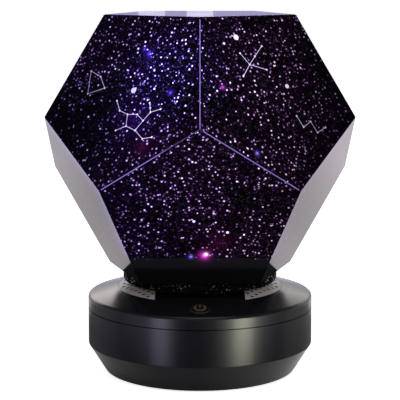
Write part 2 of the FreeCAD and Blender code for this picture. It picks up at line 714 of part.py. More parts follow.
# ---------------------------------------------------------------- power button and its switch
# A round cap with a stem. It slides square to the dome; its stem meets the tact switch, which
# is soldered to a small board on two posts.
def make_button():
    body = new_body("power_button")
    face = "(Size.dome_radius + Size.button_rise)"
    skirt = "Size.dome_radius - Size.button_skirt"
    stem_end = "Size.dome_radius - Size.stem_end"
    crown_edge = "(Size.button_radius - Size.button_round)"
    crown_top = f"{face} + Size.button_crown - sqrt(Size.button_crown^2 - {crown_edge}^2)"
    corners = [
        ("0", stem_end),
        ("Size.stem_radius", stem_end),
        ("Size.stem_radius", skirt),
        ("Size.button_radius", skirt),
        ("Size.button_radius", f"{face} - Size.button_round"),
        (crown_edge, face),
        ("0", crown_top),
    ]
    revolve(body, corners, {4: "-Size.button_round", 5: "-Size.button_crown"})
    lean_to_button(body)
    keep(body)
    board = new_body("switch_board")
    board_top = "Size.dome_radius - Size.switch_level"
    sketch = new_sketch(board, "XY_Plane", f"{board_top} - Size.small_board")
    rectangle(sketch, "-14", "14", "-5", "5")
    pad(board, sketch, "Size.small_board")
    lean_to_button(board)
    keep(board)
    switch = new_body("tact_switch")
    box_height = "3.6"
    plunger_radius = "1.75"
    plunger_height = "0.9"
    sketch = new_sketch(switch, "XY_Plane", board_top)
    rectangle(sketch, "-Size.switch_half", "Size.switch_half", "-Size.switch_half", "Size.switch_half")
    pad(switch, sketch, box_height)
    sketch = new_sketch(switch, "XY_Plane", f"{board_top} + {box_height}")
    circle(sketch, plunger_radius)
    pad(switch, sketch, plunger_height)
    lean_to_button(switch)
    keep(switch)


# ---------------------------------------------------------------- speakers
# Two small drivers that face up under the grilles: rim, surround, cone, basket and magnet.
def make_speakers():
    for name, side in (("speaker_left", "-"), ("speaker_right", "")):
        body = new_body(name)
        top = "Size.speaker_top"
        back = f"{top} - Size.speaker_depth"
        basket = f"{top} - Size.speaker_depth / 2"
        rim_thick = "1.2"
        surround = "3"
        cap = "10"
        cap_edge = "5.5"
        cap_level = f"{top} - 5"
        corners = [
            ("0", back),
            ("Size.magnet_radius", back),
            ("Size.magnet_radius", f"{basket} - 1.5"),
            ("Size.magnet_radius + 2", basket),
            ("Size.speaker_radius - 1.5", f"{top} - {rim_thick}"),
            ("Size.speaker_radius", f"{top} - {rim_thick}"),
            ("Size.speaker_radius", top),
            ("Size.speaker_radius - 2.2", top),
            ("Size.speaker_radius - 4.2", f"{top} - 1.4"),
            (cap_edge, cap_level),
            ("0", f"{cap_level} + {cap} - sqrt({cap}^2 - {cap_edge}^2)"),
        ]
        revolve(body, corners, {7: f"-{surround}", 9: f"-{cap}"})
        body.setExpression("Placement.Base.x", f"{side}Size.speaker_place")
        keep(body)


# ---------------------------------------------------------------- boards, inlet and battery
BOARD_TOP = "(Size.board_level + Size.board_thick)"
# Left, right, front and back of the chips, and the middles of the upright capacitors.
CHIPS = ((-9, 0, -44, -35), (8, 16, -42, -36), (-28, -18, -48, -42), (24, 31, -36, -30))
CAPACITORS = ((-24, -34), (-15, -34), (22, -46))


def make_electronics():
    board = new_body("main_board")
    sketch = new_sketch(board, "XY_Plane", "Size.board_level")
    rectangle(sketch, "-Size.board_half", "Size.board_half", "-Size.board_near", "-Size.board_far")
    pad(board, sketch, "Size.board_thick")
    chips = new_sketch(board, "XY_Plane", BOARD_TOP)
    for sides in CHIPS:
        rectangle(chips, *map(str, sides))
    pad(board, chips, "1.5")
    cans = new_sketch(board, "XY_Plane", BOARD_TOP)
    for across, back in CAPACITORS:
        circle(cans, "3.1", str(across), str(back))
    pad(board, cans, "7")
    keep(board)
    charge = new_body("charge_board")
    sketch = new_sketch(charge, "XY_Plane", "Size.inlet_level - Size.small_board")
    rectangle(sketch, "-12", "12", "Size.inlet_place - 3", "Size.inlet_place + 5.5")
    pad(charge, sketch, "Size.small_board")
    keep(charge)
    # A drawn steel sleeve, closed at its back, with a contact tongue in its mouth.
    socket = new_body("inlet_socket")
    mouth = "-(Size.base_radius - Size.inlet_set_back)"
    sheet_thick = "0.35"
    middle = "(Size.inlet_level + Size.inlet_height / 2)"
    half_height = "(Size.inlet_height / 2)"
    sketch = new_sketch(socket, "XZ_Plane", mouth)
    rounded_slot(sketch, "Size.inlet_half", middle, half_height)
    pad(socket, sketch, "Size.inlet_depth")
    room = new_sketch(socket, "XZ_Plane", mouth)
    rounded_slot(room, f"(Size.inlet_half - {sheet_thick})", middle, f"({half_height} - {sheet_thick})")
    pocket(socket, room, "Size.inlet_depth - 1")
    tongue = new_sketch(socket, "XZ_Plane", f"{mouth} + 0.8")
    rectangle(tongue, "-3.3", "3.3", f"{middle} - 0.35", f"{middle} + 0.35")
    pad(socket, tongue, "Size.inlet_depth - 1.3")
    keep(socket)
    end = "Size.cell_length / 2 - 1"
    can = lying_cylinder("Size.cell_radius", f"{end} - Size.cell_length", end)
    tip = lying_cylinder("Size.cell_radius / 3", end, f"{end} + 1.2")
    keep(join(can, tip), "battery_cell")


def rounded_slot(sketch, half_width, middle, half_height):
    """A slot with round ends, lying level, its centre on the sketch's upright axis."""
    straight = f"({half_width} - {half_height})"
    corners = [
        (f"-{straight}", f"{middle} - {half_height}"),
        (straight, f"{middle} - {half_height}"),
        (straight, f"{middle} + {half_height}"),
        (f"-{straight}", f"{middle} + {half_height}"),
    ]
    places = [FreeCAD.Vector(amount_of(across), amount_of(up), 0) for across, up in corners]
    reach = FreeCAD.Vector(amount_of(half_width), 0, 0)
    centre = FreeCAD.Vector(0, amount_of(middle), 0)
    shapes = [
        Part.LineSegment(places[0], places[1]),
        Part.Arc(places[1], centre + reach, places[2]),
        Part.LineSegment(places[2], places[3]),
        Part.Arc(places[3], centre - reach, places[0]),
    ]
    for shape, (across, up) in zip(shapes, corners):
        element = sketch.addGeometry(shape, False)
        pin(sketch, element, 1, across, up)
    for side in range(4):
        first = sketch.GeometryCount - 4 + side
        second = sketch.GeometryCount - 4 + (side + 1) % 4
        sketch.addConstraint(Sketcher.Constraint("Coincident", first, 2, second, 1))


# ---------------------------------------------------------------- mechanism plate, pillars, motor
# A steel plate on four pillars carries the lamp post in the middle and the gear motor behind it.
PILLAR_PLACES = []
for left in ("-Size.pillar_across", "Size.pillar_across"):
    for near in ("-Size.pillar_across - 4", f"{MOTOR_PLACE} + 8"):
        PILLAR_PLACES.append((left, near))


def make_mechanism():
    plate = new_body("mechanism_plate")
    half = "Size.plate_half"
    sketch = new_sketch(plate, "XY_Plane", "Size.plate_level")
    rectangle(sketch, f"-{half}", half, f"-{half} - 4", f"{MOTOR_PLACE} + Size.motor_radius + 1")
    circle(sketch, "Size.post_bore")
    circle(sketch, "Size.nose_radius + 0.1", "0", MOTOR_PLACE)
    for place in PILLAR_PLACES:
        circle(sketch, "Size.screw_radius + Size.screw_gap", *place)
    blank = pad(plate, sketch, "Size.plate_thick")
    doc.recompute()
    side = amount_of(half)
    corners = []
    for number, edge in enumerate(blank.Shape.Edges, 1):
        box = edge.BoundBox
        upright = box.ZLength > 1 and box.XLength < 0.01
        if upright and abs(abs(box.XMin) - side) < 0.01:
            corners.append(f"Edge{number}")
    fillet = plate.newObject("PartDesign::Fillet", "Fillet")
    fillet.Base = (blank, corners)
    fillet.setExpression("Radius", "Size.pillar_radius + 0.5")
    keep(plate)
    pillars = new_body("plate_pillars")
    sketch = new_sketch(pillars, "XY_Plane", COVER_TOP)
    for place in PILLAR_PLACES:
        circle(sketch, "Size.pillar_radius", *place)
    pad(pillars, sketch, f"Size.plate_level - {COVER_TOP}")
    keep(pillars)
    motor = new_body("gear_motor")
    top = "Size.plate_level"
    bottom = f"{top} - Size.motor_height"
    bore = "(Size.shaft_radius + Size.shaft_gap)"
    bore_end = f"{top} - Size.shaft_depth - 0.5"
    nose_top = f"{PLATE_TOP} + 1"
    corners = [
        ("0", bottom),
        ("Size.motor_radius - 1", bottom),
        ("Size.motor_radius", f"{bottom} + 1"),
        ("Size.motor_radius", top),
        ("Size.nose_radius", top),
        ("Size.nose_radius", nose_top),
        (bore, nose_top),
        (bore, bore_end),
        ("0", bore_end),
    ]
    revolve(motor, corners)
    motor.setExpression("Placement.Base.y", MOTOR_PLACE)
    keep(motor)


# ---------------------------------------------------------------- drive gears
# Spur teeth of one module. A flank runs straight from root to tip, leaning 20 degrees above
# the pitch circle and 5 below it, and a little slack keeps the wheels free all the way round.
SLACK = 0.16
RISE = 0.92
SINK = 1.2


def gear(label, teeth, bore, low, width, start):
    """A spur wheel round its body's own axis; start is the angle of its first tooth."""
    body = new_body(label)
    pitch = f"(Size.gear_module * {teeth} / 2)"
    root = f"({pitch} - Size.gear_module * {SINK})"
    tip = f"({pitch} + Size.gear_module * {RISE})"
    half_pitch = math.pi / 4
    blank = new_sketch(body, "XY_Plane", low)
    circle(blank, root)
    circle(blank, bore)
    pad(body, blank, width)
    root_half = f"Size.gear_module * ({half_pitch} - {SLACK} / 2 + {SINK} * tan(5deg))"
    tip_half = f"Size.gear_module * ({half_pitch} - {SLACK} / 2 - {RISE} * tan(20deg))"
    inset = f"({root} - Size.gear_module * 0.5)"
    pitch_half = f"Size.gear_module * ({half_pitch} - {SLACK} / 2)"
    profile = [(inset, f"-({root_half})"), (root, f"-({root_half})"), (pitch, f"-({pitch_half})"),
               (tip, f"-({tip_half})"), (tip, tip_half), (pitch, pitch_half), (root, root_half),
               (inset, root_half)]
    turn = f"{start} * 1deg"
    corners = []
    for out, aside in profile:
        corners.append((f"{out} * cos({turn}) - ({aside}) * sin({turn})",
                        f"{out} * sin({turn}) + ({aside}) * cos({turn})"))
    sketch = new_sketch(body, "XY_Plane", low)
    outline(sketch, corners)
    tooth = pad(body, sketch, width)
    polar(body, tooth, int(amount_of(teeth)))
    return body


def make_drive():
    """The pinion is a little wider than the wheel, and starts half a tooth out of step."""
    low = "Size.gear_floor"
    wheel = gear("turntable_gear", "Size.gear_teeth", "Size.hub_radius", low, "Size.gear_width", 0)
    keep(wheel)
    half_step = 180 / amount_of("Size.pinion_teeth")
    over = "0.5"
    pinion = gear("drive_pinion", "Size.pinion_teeth", "Size.shaft_radius", f"{low} - {over}",
                  f"Size.gear_width + {over} * 2", half_step)
    pinion.setExpression("Placement.Base.y", MOTOR_PLACE)
    keep(pinion)
    shaft = new_body("motor_shaft")
    shaft_low = "(Size.plate_level - Size.shaft_depth)"
    sketch = new_sketch(shaft, "XY_Plane", shaft_low)
    circle(sketch, "Size.shaft_radius")
    pad(shaft, sketch, f"{low} + Size.gear_width + {over} + 1 - {shaft_low}")
    shaft.setExpression("Placement.Base.y", MOTOR_PLACE)
    keep(shaft)


# ---------------------------------------------------------------- lamp post and bearing
# A steel tube with a foot flange on the mechanism plate. A brass bush on it carries the
# turntable's hub, and a collar above the bush keeps the hub down.
BUSH_TOP = "(Size.disc_top - 3.4)"
POST_FOOT_TOP = f"({PLATE_TOP} + Size.post_foot_thick)"


def make_post():
    post = new_body("lamp_post")
    corners = [
        ("Size.post_bore", PLATE_TOP),
        ("Size.post_foot", PLATE_TOP),
        ("Size.post_foot", POST_FOOT_TOP),
        ("Size.post_radius", POST_FOOT_TOP),
        ("Size.post_radius", "Size.post_top"),
        ("Size.post_bore", "Size.post_top"),
    ]
    revolve(post, corners)
    keep(post)
    bush = new_body("bearing_bush")
    flange_top = "Size.hub_bottom - Size.end_play"
    corners = [
        ("Size.post_radius", POST_FOOT_TOP),
        ("Size.bush_flange", POST_FOOT_TOP),
        ("Size.bush_flange", flange_top),
        ("Size.bush_radius", flange_top),
        ("Size.bush_radius", BUSH_TOP),
        ("Size.post_radius", BUSH_TOP),
    ]
    revolve(bush, corners)
    keep(bush)
    collar = new_body("retaining_collar")
    collar_edge = "Size.bush_radius + Size.collar_reach"
    collar_top = f"{BUSH_TOP} + Size.collar_height"
    bevel = "0.8"
    corners = [
        ("Size.post_radius", BUSH_TOP),
        (collar_edge, BUSH_TOP),
        (collar_edge, f"{collar_top} - {bevel}"),
        (f"{collar_edge} - {bevel}", collar_top),
        ("Size.post_radius", collar_top),
    ]
    revolve(collar, corners)
    keep(collar)


# ---------------------------------------------------------------- lamp head
# A finned aluminium cup on the post's end, a round board with its light sources, and a clear
# domed lens over them. The light leaves from the centre of the shell.
FIN_COUNT = 3


def make_lamp():
    cup = new_body("lamp_cup")
    low = "(Size.post_top - 14)"
    fin_pitch = 3.4
    fin_gap = 1.8
    corners = [("Size.post_radius", low)]
    for fin in range(FIN_COUNT):
        root = f"{low} + {fin * fin_pitch}"
        corners.append(("Size.cup_core", root))
        corners.append(("Size.cup_core", f"{root} + {fin_gap}"))
        corners.append(("Size.cup_fin", f"{root} + {fin_gap}"))
        corners.append(("Size.cup_fin", f"{root} + {fin_pitch}"))
    root = f"{low} + {FIN_COUNT * fin_pitch}"
    floor = f"{CUP_TOP} - Size.cup_depth"
    corners += [
        ("Size.cup_core", root),
        ("Size.cup_core", f"{root} + {fin_gap}"),
        ("Size.cup_fin", f"{root} + {fin_gap}"),
        ("Size.cup_fin + 0.8", CUP_TOP),
        ("Size.cup_fin - 0.6", CUP_TOP),
        ("Size.cup_fin - 1.4", floor),
        ("0", floor),
        ("0", "Size.post_top"),
        ("Size.post_radius", "Size.post_top"),
    ]
    revolve(cup, corners)
    keep(cup)
    board = new_body("led_board")
    board_top = f"{floor} + 1.4"
    disc = new_sketch(board, "XY_Plane", floor)
    circle(disc, "Size.lens_outside")
    pad(board, disc, "1.4")
    lights = new_sketch(board, "XY_Plane", board_top)
    spread = 5.5
    half = 1.6
    for across, back in ((0, 0), (spread, 0), (-spread, 0), (0, spread), (0, -spread)):
        rectangle(lights, str(across - half), str(across + half), str(back - half), str(back + half))
    pad(board, lights, "0.9")
    keep(board)
    # The lens is a spherical shell on a flange; its centre lies a little under the cup's rim.
    lens = new_body("lamp_lens")
    flange_top = "1.6"
    flange_level = f"{CUP_TOP} + {flange_top}"
    sphere_centre = f"{CUP_TOP} - Size.lens_sunk"
    corners = [
        ("sqrt(Size.lens_inside^2 - Size.lens_sunk^2)", CUP_TOP),
        ("Size.lens_flange", CUP_TOP),
        ("Size.lens_flange", flange_level),
        (f"sqrt(Size.lens_outside^2 - (Size.lens_sunk + {flange_top})^2)", flange_level),
        ("0", f"{sphere_centre} + Size.lens_outside"),
        ("0", f"{sphere_centre} + Size.lens_inside"),
    ]
    revolve(lens, corners, {3: "-Size.lens_outside", 5: "Size.lens_inside"})
    keep(lens)


# ---------------------------------------------------------------- turntable
# A thick disc with a rounded rim and a long hub. Underneath it is hollow between rim and hub,
# with six ribs; five pegs on top locate the shell.
def make_turntable():
    body = new_body("turntable")
    bore = "(Size.bush_radius + Size.bush_gap)"
    well = "(Size.bush_radius + 2)"
    web = "(Size.disc_top - Size.disc_web)"
    corners = [
        (bore, "Size.hub_bottom"),
        ("Size.hub_radius", "Size.hub_bottom"),
        ("Size.hub_radius", web),
        ("Size.disc_radius - Size.disc_rim", web),
        ("Size.disc_radius - Size.disc_rim", "Size.disc_bottom"),
        ("Size.disc_radius", "Size.disc_bottom"),
        ("Size.disc_radius", "Size.disc_top"),
        (well, "Size.disc_top"),
        (well, f"{BUSH_TOP} - Size.end_play"),
        (bore, f"{BUSH_TOP} - Size.end_play"),
    ]
    revolve(body, corners)
    rims = [("Size.disc_radius", "Size.disc_top"), ("Size.disc_radius", "Size.disc_bottom")]
    round_rims(body, "(Size.disc_top - Size.disc_bottom) * 0.46", rims)
    overlap = "0.5"
    ribs = new_sketch(body, "XY_Plane", "Size.disc_bottom")
    rib_end = f"Size.disc_radius - Size.disc_rim + {overlap}"
    rectangle(ribs, f"Size.hub_radius - {overlap}", rib_end, "-Size.disc_rib / 2", "Size.disc_rib / 2")
    rib = pad(body, ribs, f"{web} - Size.disc_bottom + {overlap}")
    polar(body, rib, 6)
    pegs = new_sketch(body, "XY_Plane", f"Size.disc_top - {overlap}")
    circle(pegs, "Size.peg_radius", "0", "Size.peg_circle")
    peg = pad(body, pegs, f"Size.peg_rise + {overlap}")
    polar(body, peg, 5)
    keep(body)


# ---------------------------------------------------------------- shell: floor ring and frame
# The floor ring drops over the pegs and carries the clear frame. The frame is a dodecahedral
# cage: one rib along each edge, bent round it, open between the ribs.
def make_floor_ring():
    ring = new_body("shell_floor_ring")
    sketch = new_sketch(ring, "XY_Plane", "Size.disc_top")
    regular_pentagon(sketch, "Size.ring_edge / cos(36deg)")
    circle(sketch, "Size.ring_hole")
    pad(ring, sketch, "Size.shell_bottom + Size.panel_thick - Size.disc_top")
    holes = new_sketch(ring, "XY_Plane", "Size.shell_bottom + Size.panel_thick")
    circle(holes, "Size.peg_radius + Size.peg_gap", "0", "Size.peg_circle")
    hole = pocket(ring, holes, FAR)
    polar(ring, hole, 5)
    keep(ring)


def dodecahedron_faces(inner_radius):
    """The twelve faces of a dodecahedron round the origin, each a list of five corners. It
    stands on a face, and one corner of its top face points to the front."""
    edge = inner_radius / INNER_RADIUS
    narrow = edge * CORNER_RADIUS
    wide = narrow * GOLDEN
    middle = inner_radius - math.sqrt(edge ** 2 - (wide - narrow) ** 2)

    def ring(radius, height, turned):
        angles = [math.radians(72 * k + turned) for k in range(5)]
        return [FreeCAD.Vector(radius * math.sin(a), -radius * math.cos(a), height) for a in angles]

    top = ring(narrow, inner_radius, 0)
    upper = ring(wide, middle, 0)
    lower = ring(wide, -middle, 36)
    bottom = ring(narrow, -inner_radius, 36)
    faces = [list(reversed(top)), list(bottom)]
    for k in range(5):
        after = (k + 1) % 5
        faces.append([top[k], top[after], upper[after], lower[k], upper[k]])
        faces.append([bottom[k], bottom[after], lower[after], upper[after], lower[k]])
    return faces


def solid_of(faces):
    """The closed solid inside plane faces."""
    skins = [Part.Face(Part.makePolygon(corners + corners[:1])) for corners in faces]
    solid = Part.makeSolid(Part.makeShell(skins))
    if solid.Volume < 0:
        solid.reverse()
    return solid


def make_frame():
    """Outer cage minus inner cage, minus a pentagonal window through each face."""
    outer = amount_of(f"{INRADIUS} - Size.panel_thick")
    inner = outer - amount_of("Size.frame_thick")
    cage = solid_of(dodecahedron_faces(outer)).cut(solid_of(dodecahedron_faces(inner)))
    flat = outer / INNER_RADIUS * EDGE_RADIUS
    scale = (flat - amount_of("Size.rib_width")) / flat
    for corners in dodecahedron_faces(outer):
        centre = sum(corners, FreeCAD.Vector()) / 5
        window = [centre + (corner - centre) * scale for corner in corners]
        outward = FreeCAD.Vector(centre).normalize()
        skin = Part.Face(Part.makePolygon(window + window[:1]))
        skin.translate(outward)
        cage = cage.cut(skin.extrude(outward * -(outer - inner + 2)))
    frame = doc.addObject("Part::Feature", "shell_frame")
    frame.Shape = cage.removeSplitter()
    frame.setExpression("Placement.Base.z", SHELL_CENTRE)
    keep(frame)


# ---------------------------------------------------------------- shell: printed panels
# Eleven equal pentagonal plates, mitred all round so that neighbours leave an even seam. The
# twelfth side of the shell, underneath, is open.
def make_panel(name, azimuth, lean, corner_up):
    """One plate. azimuth turns from the front towards +X, lean is its normal's angle above
    level, and corner_up says which way along the slope its odd corner points."""
    body = new_body(name)
    sketch = new_sketch(body, "XY_Plane")
    half_edge = f"(Size.shell_edge * {EDGE_RADIUS} - Size.seam_half) / cos(36deg)"
    regular_pentagon(sketch, half_edge)
    plate = pad(body, sketch, "Size.panel_thick")
    plate.Reversed = True
    plate.TaperAngle = -MITRE
    turn = math.radians(azimuth)
    tilt = math.radians(lean)
    level = FreeCAD.Vector(math.sin(turn), -math.cos(turn), 0)
    up = FreeCAD.Vector(0, 0, 1)
    normal = level * math.cos(tilt) + up * math.sin(tilt)
    slope = (up * math.cos(tilt) - level * math.sin(tilt)) * corner_up
    body.Placement = FreeCAD.Placement(
        FreeCAD.Vector(), FreeCAD.Rotation(slope.cross(normal), slope, normal, "ZYX"))
    body.setExpression("Placement.Base.x", f"{INRADIUS} * {normal.x}")
    body.setExpression("Placement.Base.y", f"{INRADIUS} * {normal.y}")
    body.setExpression("Placement.Base.z", f"{SHELL_CENTRE} + {INRADIUS} * {normal.z}")
    keep(body)


def make_panels():
    make_panel("top_panel", 0, 90, -1)
    for number in range(5):
        make_panel(f"upper_panel_{number + 1}", 36 + 72 * number, FACE_LEAN, -1)
        make_panel(f"lower_panel_{number + 1}", 72 * number, -FACE_LEAN, 1)


make_lower_housing()
make_base_plate()
make_feet()
make_screws()
make_upper_housing()
make_grilles()
make_button()
make_speakers()
make_electronics()
make_mechanism()
make_drive()
make_post()
make_lamp()
make_turntable()
make_floor_ring()
make_frame()
make_panels()
doc.recompute()

for item in doc.Objects:
    if "Invalid" in item.State or "Error" in item.State:
        raise RuntimeError(f"{item.Label} failed: {item.State}")
for piece in nodes:
    if piece.Shape.isNull() or not piece.Shape.isValid() or not piece.Shape.Solids:
        raise RuntimeError(f"{piece.Label} has no valid solid")

os.makedirs("parts", exist_ok=True)
for piece in nodes:
    piece.Shape.exportStep(f"parts/{piece.Label}.step")
    print(f"{piece.Label:20s} {len(piece.Shape.Solids)} solid  {piece.Shape.Volume:10.1f} mm3")
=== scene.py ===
import json
import math

import bpy
import numpy as np
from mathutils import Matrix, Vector


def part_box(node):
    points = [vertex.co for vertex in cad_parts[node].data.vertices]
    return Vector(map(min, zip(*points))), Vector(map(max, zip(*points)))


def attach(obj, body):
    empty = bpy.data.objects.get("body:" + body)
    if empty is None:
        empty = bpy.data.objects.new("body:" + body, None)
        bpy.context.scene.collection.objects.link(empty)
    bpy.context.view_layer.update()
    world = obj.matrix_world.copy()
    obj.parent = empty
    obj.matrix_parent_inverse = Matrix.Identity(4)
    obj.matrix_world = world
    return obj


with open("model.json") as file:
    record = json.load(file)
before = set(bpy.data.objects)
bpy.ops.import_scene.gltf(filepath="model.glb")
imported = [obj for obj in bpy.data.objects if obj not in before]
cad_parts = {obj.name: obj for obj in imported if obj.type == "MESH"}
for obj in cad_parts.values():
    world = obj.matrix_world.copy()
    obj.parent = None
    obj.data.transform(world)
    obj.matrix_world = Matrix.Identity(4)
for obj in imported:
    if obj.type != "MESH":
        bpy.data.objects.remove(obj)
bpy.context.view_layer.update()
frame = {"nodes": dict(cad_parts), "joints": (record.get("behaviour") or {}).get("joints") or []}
nodes = frame["nodes"]

# A table-top planetarium lamp: a dodecahedral shell with a printed star field turns on a round
# base with two speakers under its domed top. Metres, +Z up, the front towards -Y.


# ---------------------------------------------------------------- camera
# A long lens, a metre in front of the lamp and a little above the middle of its shell, looks
# slightly down on it.
frame_low, frame_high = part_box("shell_frame")
shell_centre = (frame_low + frame_high) / 2
camera_distance = 1.0523
camera_rise = 0.1244
camera_pitch = math.radians(8.92)
picture_width = 400
focal_pixels = 1521
sensor_width = 36

lens = bpy.data.cameras.new("camera")
lens.sensor_width = sensor_width
lens.lens = sensor_width * focal_pixels / picture_width
lens.clip_end = 100
camera = bpy.data.objects.new("camera", lens)
camera.location = (0, -camera_distance, shell_centre.z + camera_rise)
camera.rotation_euler = (math.radians(90) - camera_pitch, 0, 0)
bpy.context.scene.collection.objects.link(camera)
bpy.context.scene.camera = camera
bpy.context.scene.view_settings.view_transform = "Standard"


# ---------------------------------------------------------------- floor
# A wide plain sweep of white paper. It takes the lamp's shadow, and what the lens sees of it,
# straight or far off in a gloss, is white. In a ring round the lamp the paper is clear to a
# gloss, which sees a bowl of lit cards under it: bright at the right, weaker at the left.
def put(tree, kind, inputs=None, **settings):
    """One more node in a tree. An input that is given a socket is linked; any other is set."""
    node = tree.nodes.new(kind)
    for name, value in settings.items():
        setattr(node, name, value)
    for name, value in (inputs or {}).items():
        if isinstance(value, bpy.types.NodeSocket):
            tree.links.new(value, node.inputs[name])
        else:
            node.inputs[name].default_value = value
    return node


def calc(tree, operation, *values):
    """The result of one Math node."""
    return put(tree, "ShaderNodeMath", dict(enumerate(values)), operation=operation).outputs[0]


def times(tree, first, *others):
    """The product of two or more values."""
    for other in others:
        first = calc(tree, "MULTIPLY", first, other)
    return first


def slope(tree, value, start, end, low=0.0, high=1.0):
    """low before start, high after end, and straight between them; start may be above end."""
    inputs = {"Value": value, "From Min": start, "From Max": end, "To Min": low, "To Max": high}
    return put(tree, "ShaderNodeMapRange", inputs).outputs[0]


def mix(tree, factor, one, other):
    """One colour where the factor is 0, the other where it is 1."""
    inputs = {"Factor": factor, "A": one, "B": other}
    return put(tree, "ShaderNodeMix", inputs, data_type="RGBA").outputs["Result"]


def fill_ramp(ramp, stops):
    """Sets a colour ramp to (position, colour) stops."""
    ramp.elements[0].position, ramp.elements[0].color = stops[0]
    ramp.elements[1].position, ramp.elements[1].color = stops[-1]
    for place, colour in stops[1:-1]:
        ramp.elements.new(place).color = colour


def stage_material(name):
    """A material without a shader yet, for something that isn't part of the lamp."""
    made = bpy.data.materials.new(name)
    made.use_nodes = True
    made.cycles.emission_sampling = "NONE"
    made.node_tree.nodes.clear()
    return made, made.node_tree


def new_mesh(name, vertices, faces, material):
    """A mesh object out of an array of points and a list of faces."""
    mesh = bpy.data.meshes.new(name)
    mesh.from_pydata(np.asarray(vertices).tolist(), [], faces)
    mesh.update()
    mesh.materials.append(material)
    made = bpy.data.objects.new(name, mesh)
    bpy.context.scene.collection.objects.link(made)
    return made


black, white = (0, 0, 0, 1), (1, 1, 1, 1)
floor_reach = 14
paper_colour = (0.86, 0.86, 0.86, 1)
paper_glow = 0.80
gloss_tint = (1, 0.87, 1, 1)
# Each row: metres from the lamp, and the share of paper_glow that a gloss sees there. The share
# grows from the left to the right, over tilt_half on either side.
gloss_levels = (
    (0.08, 0.0), (0.22, 0.46), (0.28, 0.50), (0.35, 0.40), (0.43, 0.47), (0.52, 0.70), (0.62, 1.0),
)
tilt_half, tilt_left, tilt_right = 0.3, 0.82, 1.34
# The clear ring lies between ring_near and ring_far and ends at ring_back behind the lamp, each
# time with a soft edge. It is less clear close to the lamp, and least at the sides and the back.
ring_near, near_edge = 0.098, 0.01
ring_far, far_edge = 0.75, 0.04
ring_back, back_edge = 0.14, 0.05
close_from, close_to, close_share = 0.17, 0.32, 0.53
sides_from, sides_to, sides_share = -0.17, -0.07, 0.15
# Inside the ring, right of the middle, a gloss sees a warm glow under the lamp's foot.
foot_colour = (1, 0.98, 0.92, 1)
foot_edge, foot_light = 0.03, 0.36

paper, tree = stage_material("white_paper")
seen = put(tree, "ShaderNodeLightPath").outputs
gloss = seen["Is Glossy Ray"]
spot = put(tree, "ShaderNodeTexCoord").outputs["Object"]
reach = put(tree, "ShaderNodeVectorMath", {0: spot}, operation="LENGTH").outputs["Value"]
side = put(tree, "ShaderNodeSeparateXYZ", {0: spot}).outputs
inner = slope(tree, reach, ring_near - near_edge, ring_near)
outer = slope(tree, reach, ring_far + far_edge, ring_far)
ahead = slope(tree, side["Y"], ring_back + back_edge, ring_back)
on_ring = times(tree, inner, outer, gloss, ahead)
matt = put(tree, "ShaderNodeBsdfDiffuse", {"Color": mix(tree, on_ring, paper_colour, black)})

levels = put(tree, "ShaderNodeValToRGB", {"Fac": reach})
fill_ramp(levels.color_ramp, [(place, (share, share, share, 1)) for place, share in gloss_levels])
tilt = slope(tree, side["X"], -tilt_half, tilt_half, tilt_left, tilt_right)
lit = calc(tree, "MAXIMUM", seen["Is Camera Ray"], seen["Is Transmission Ray"])
lit = calc(tree, "MAXIMUM", lit, times(tree, gloss, levels.outputs[0], tilt))
off_ring = calc(tree, "SUBTRACT", 1, on_ring)
glow = put(tree, "ShaderNodeEmission", {"Color": mix(tree, seen["Is Camera Ray"], gloss_tint, white),
                                        "Strength": times(tree, lit, off_ring, paper_glow)})

clearness = times(tree, on_ring, slope(tree, reach, close_from, close_to, close_share),
                  slope(tree, side["Y"], sides_from, sides_to, 1.0, sides_share))
clearness = put(tree, "ShaderNodeCombineColor", {channel: clearness for channel in range(3)}).outputs[0]
clear = put(tree, "ShaderNodeBsdfTransparent", {"Color": clearness})

foot = slope(tree, side["X"], 0, foot_edge, 0, foot_light)
foot = times(tree, gloss, calc(tree, "SUBTRACT", 1, inner), foot)
foot = put(tree, "ShaderNodeEmission", {"Color": foot_colour, "Strength": foot})
surface = matt.outputs[0]
for layer in (glow, clear, foot):
    surface = put(tree, "ShaderNodeAddShader", {0: surface, 1: layer.outputs[0]}).outputs[0]
put(tree, "ShaderNodeOutputMaterial", {"Surface": surface})

corners = [(-floor_reach, -floor_reach, 0), (floor_reach, -floor_reach, 0),
           (floor_reach, floor_reach, 0), (-floor_reach, floor_reach, 0)]
floor = new_mesh("floor", corners, [(0, 1, 2, 3)], paper)


# ---------------------------------------------------------------- card bowl
# The lower half of a large ball round the floor, papered with lit and dark cards. Only a gloss
# sees it, through the floor's clear ring, and it draws the upright gleams on the base's wall.
def ring_faces(rings, around):
    """The faces of a stack of closed rings of points: each joins two neighbours of one ring to
    the same two of the next ring."""
    first = np.arange(rings - 1)[:, None] * around
    side = np.arange(around)[None, :]
    after = (side + 1) % around
    below = first + around
    faces = np.stack([first + side, first + after, below + after, below + side], axis=2)
    return faces.reshape(-1, 4).tolist()


bowl_reach = 6
card_light = 28.5
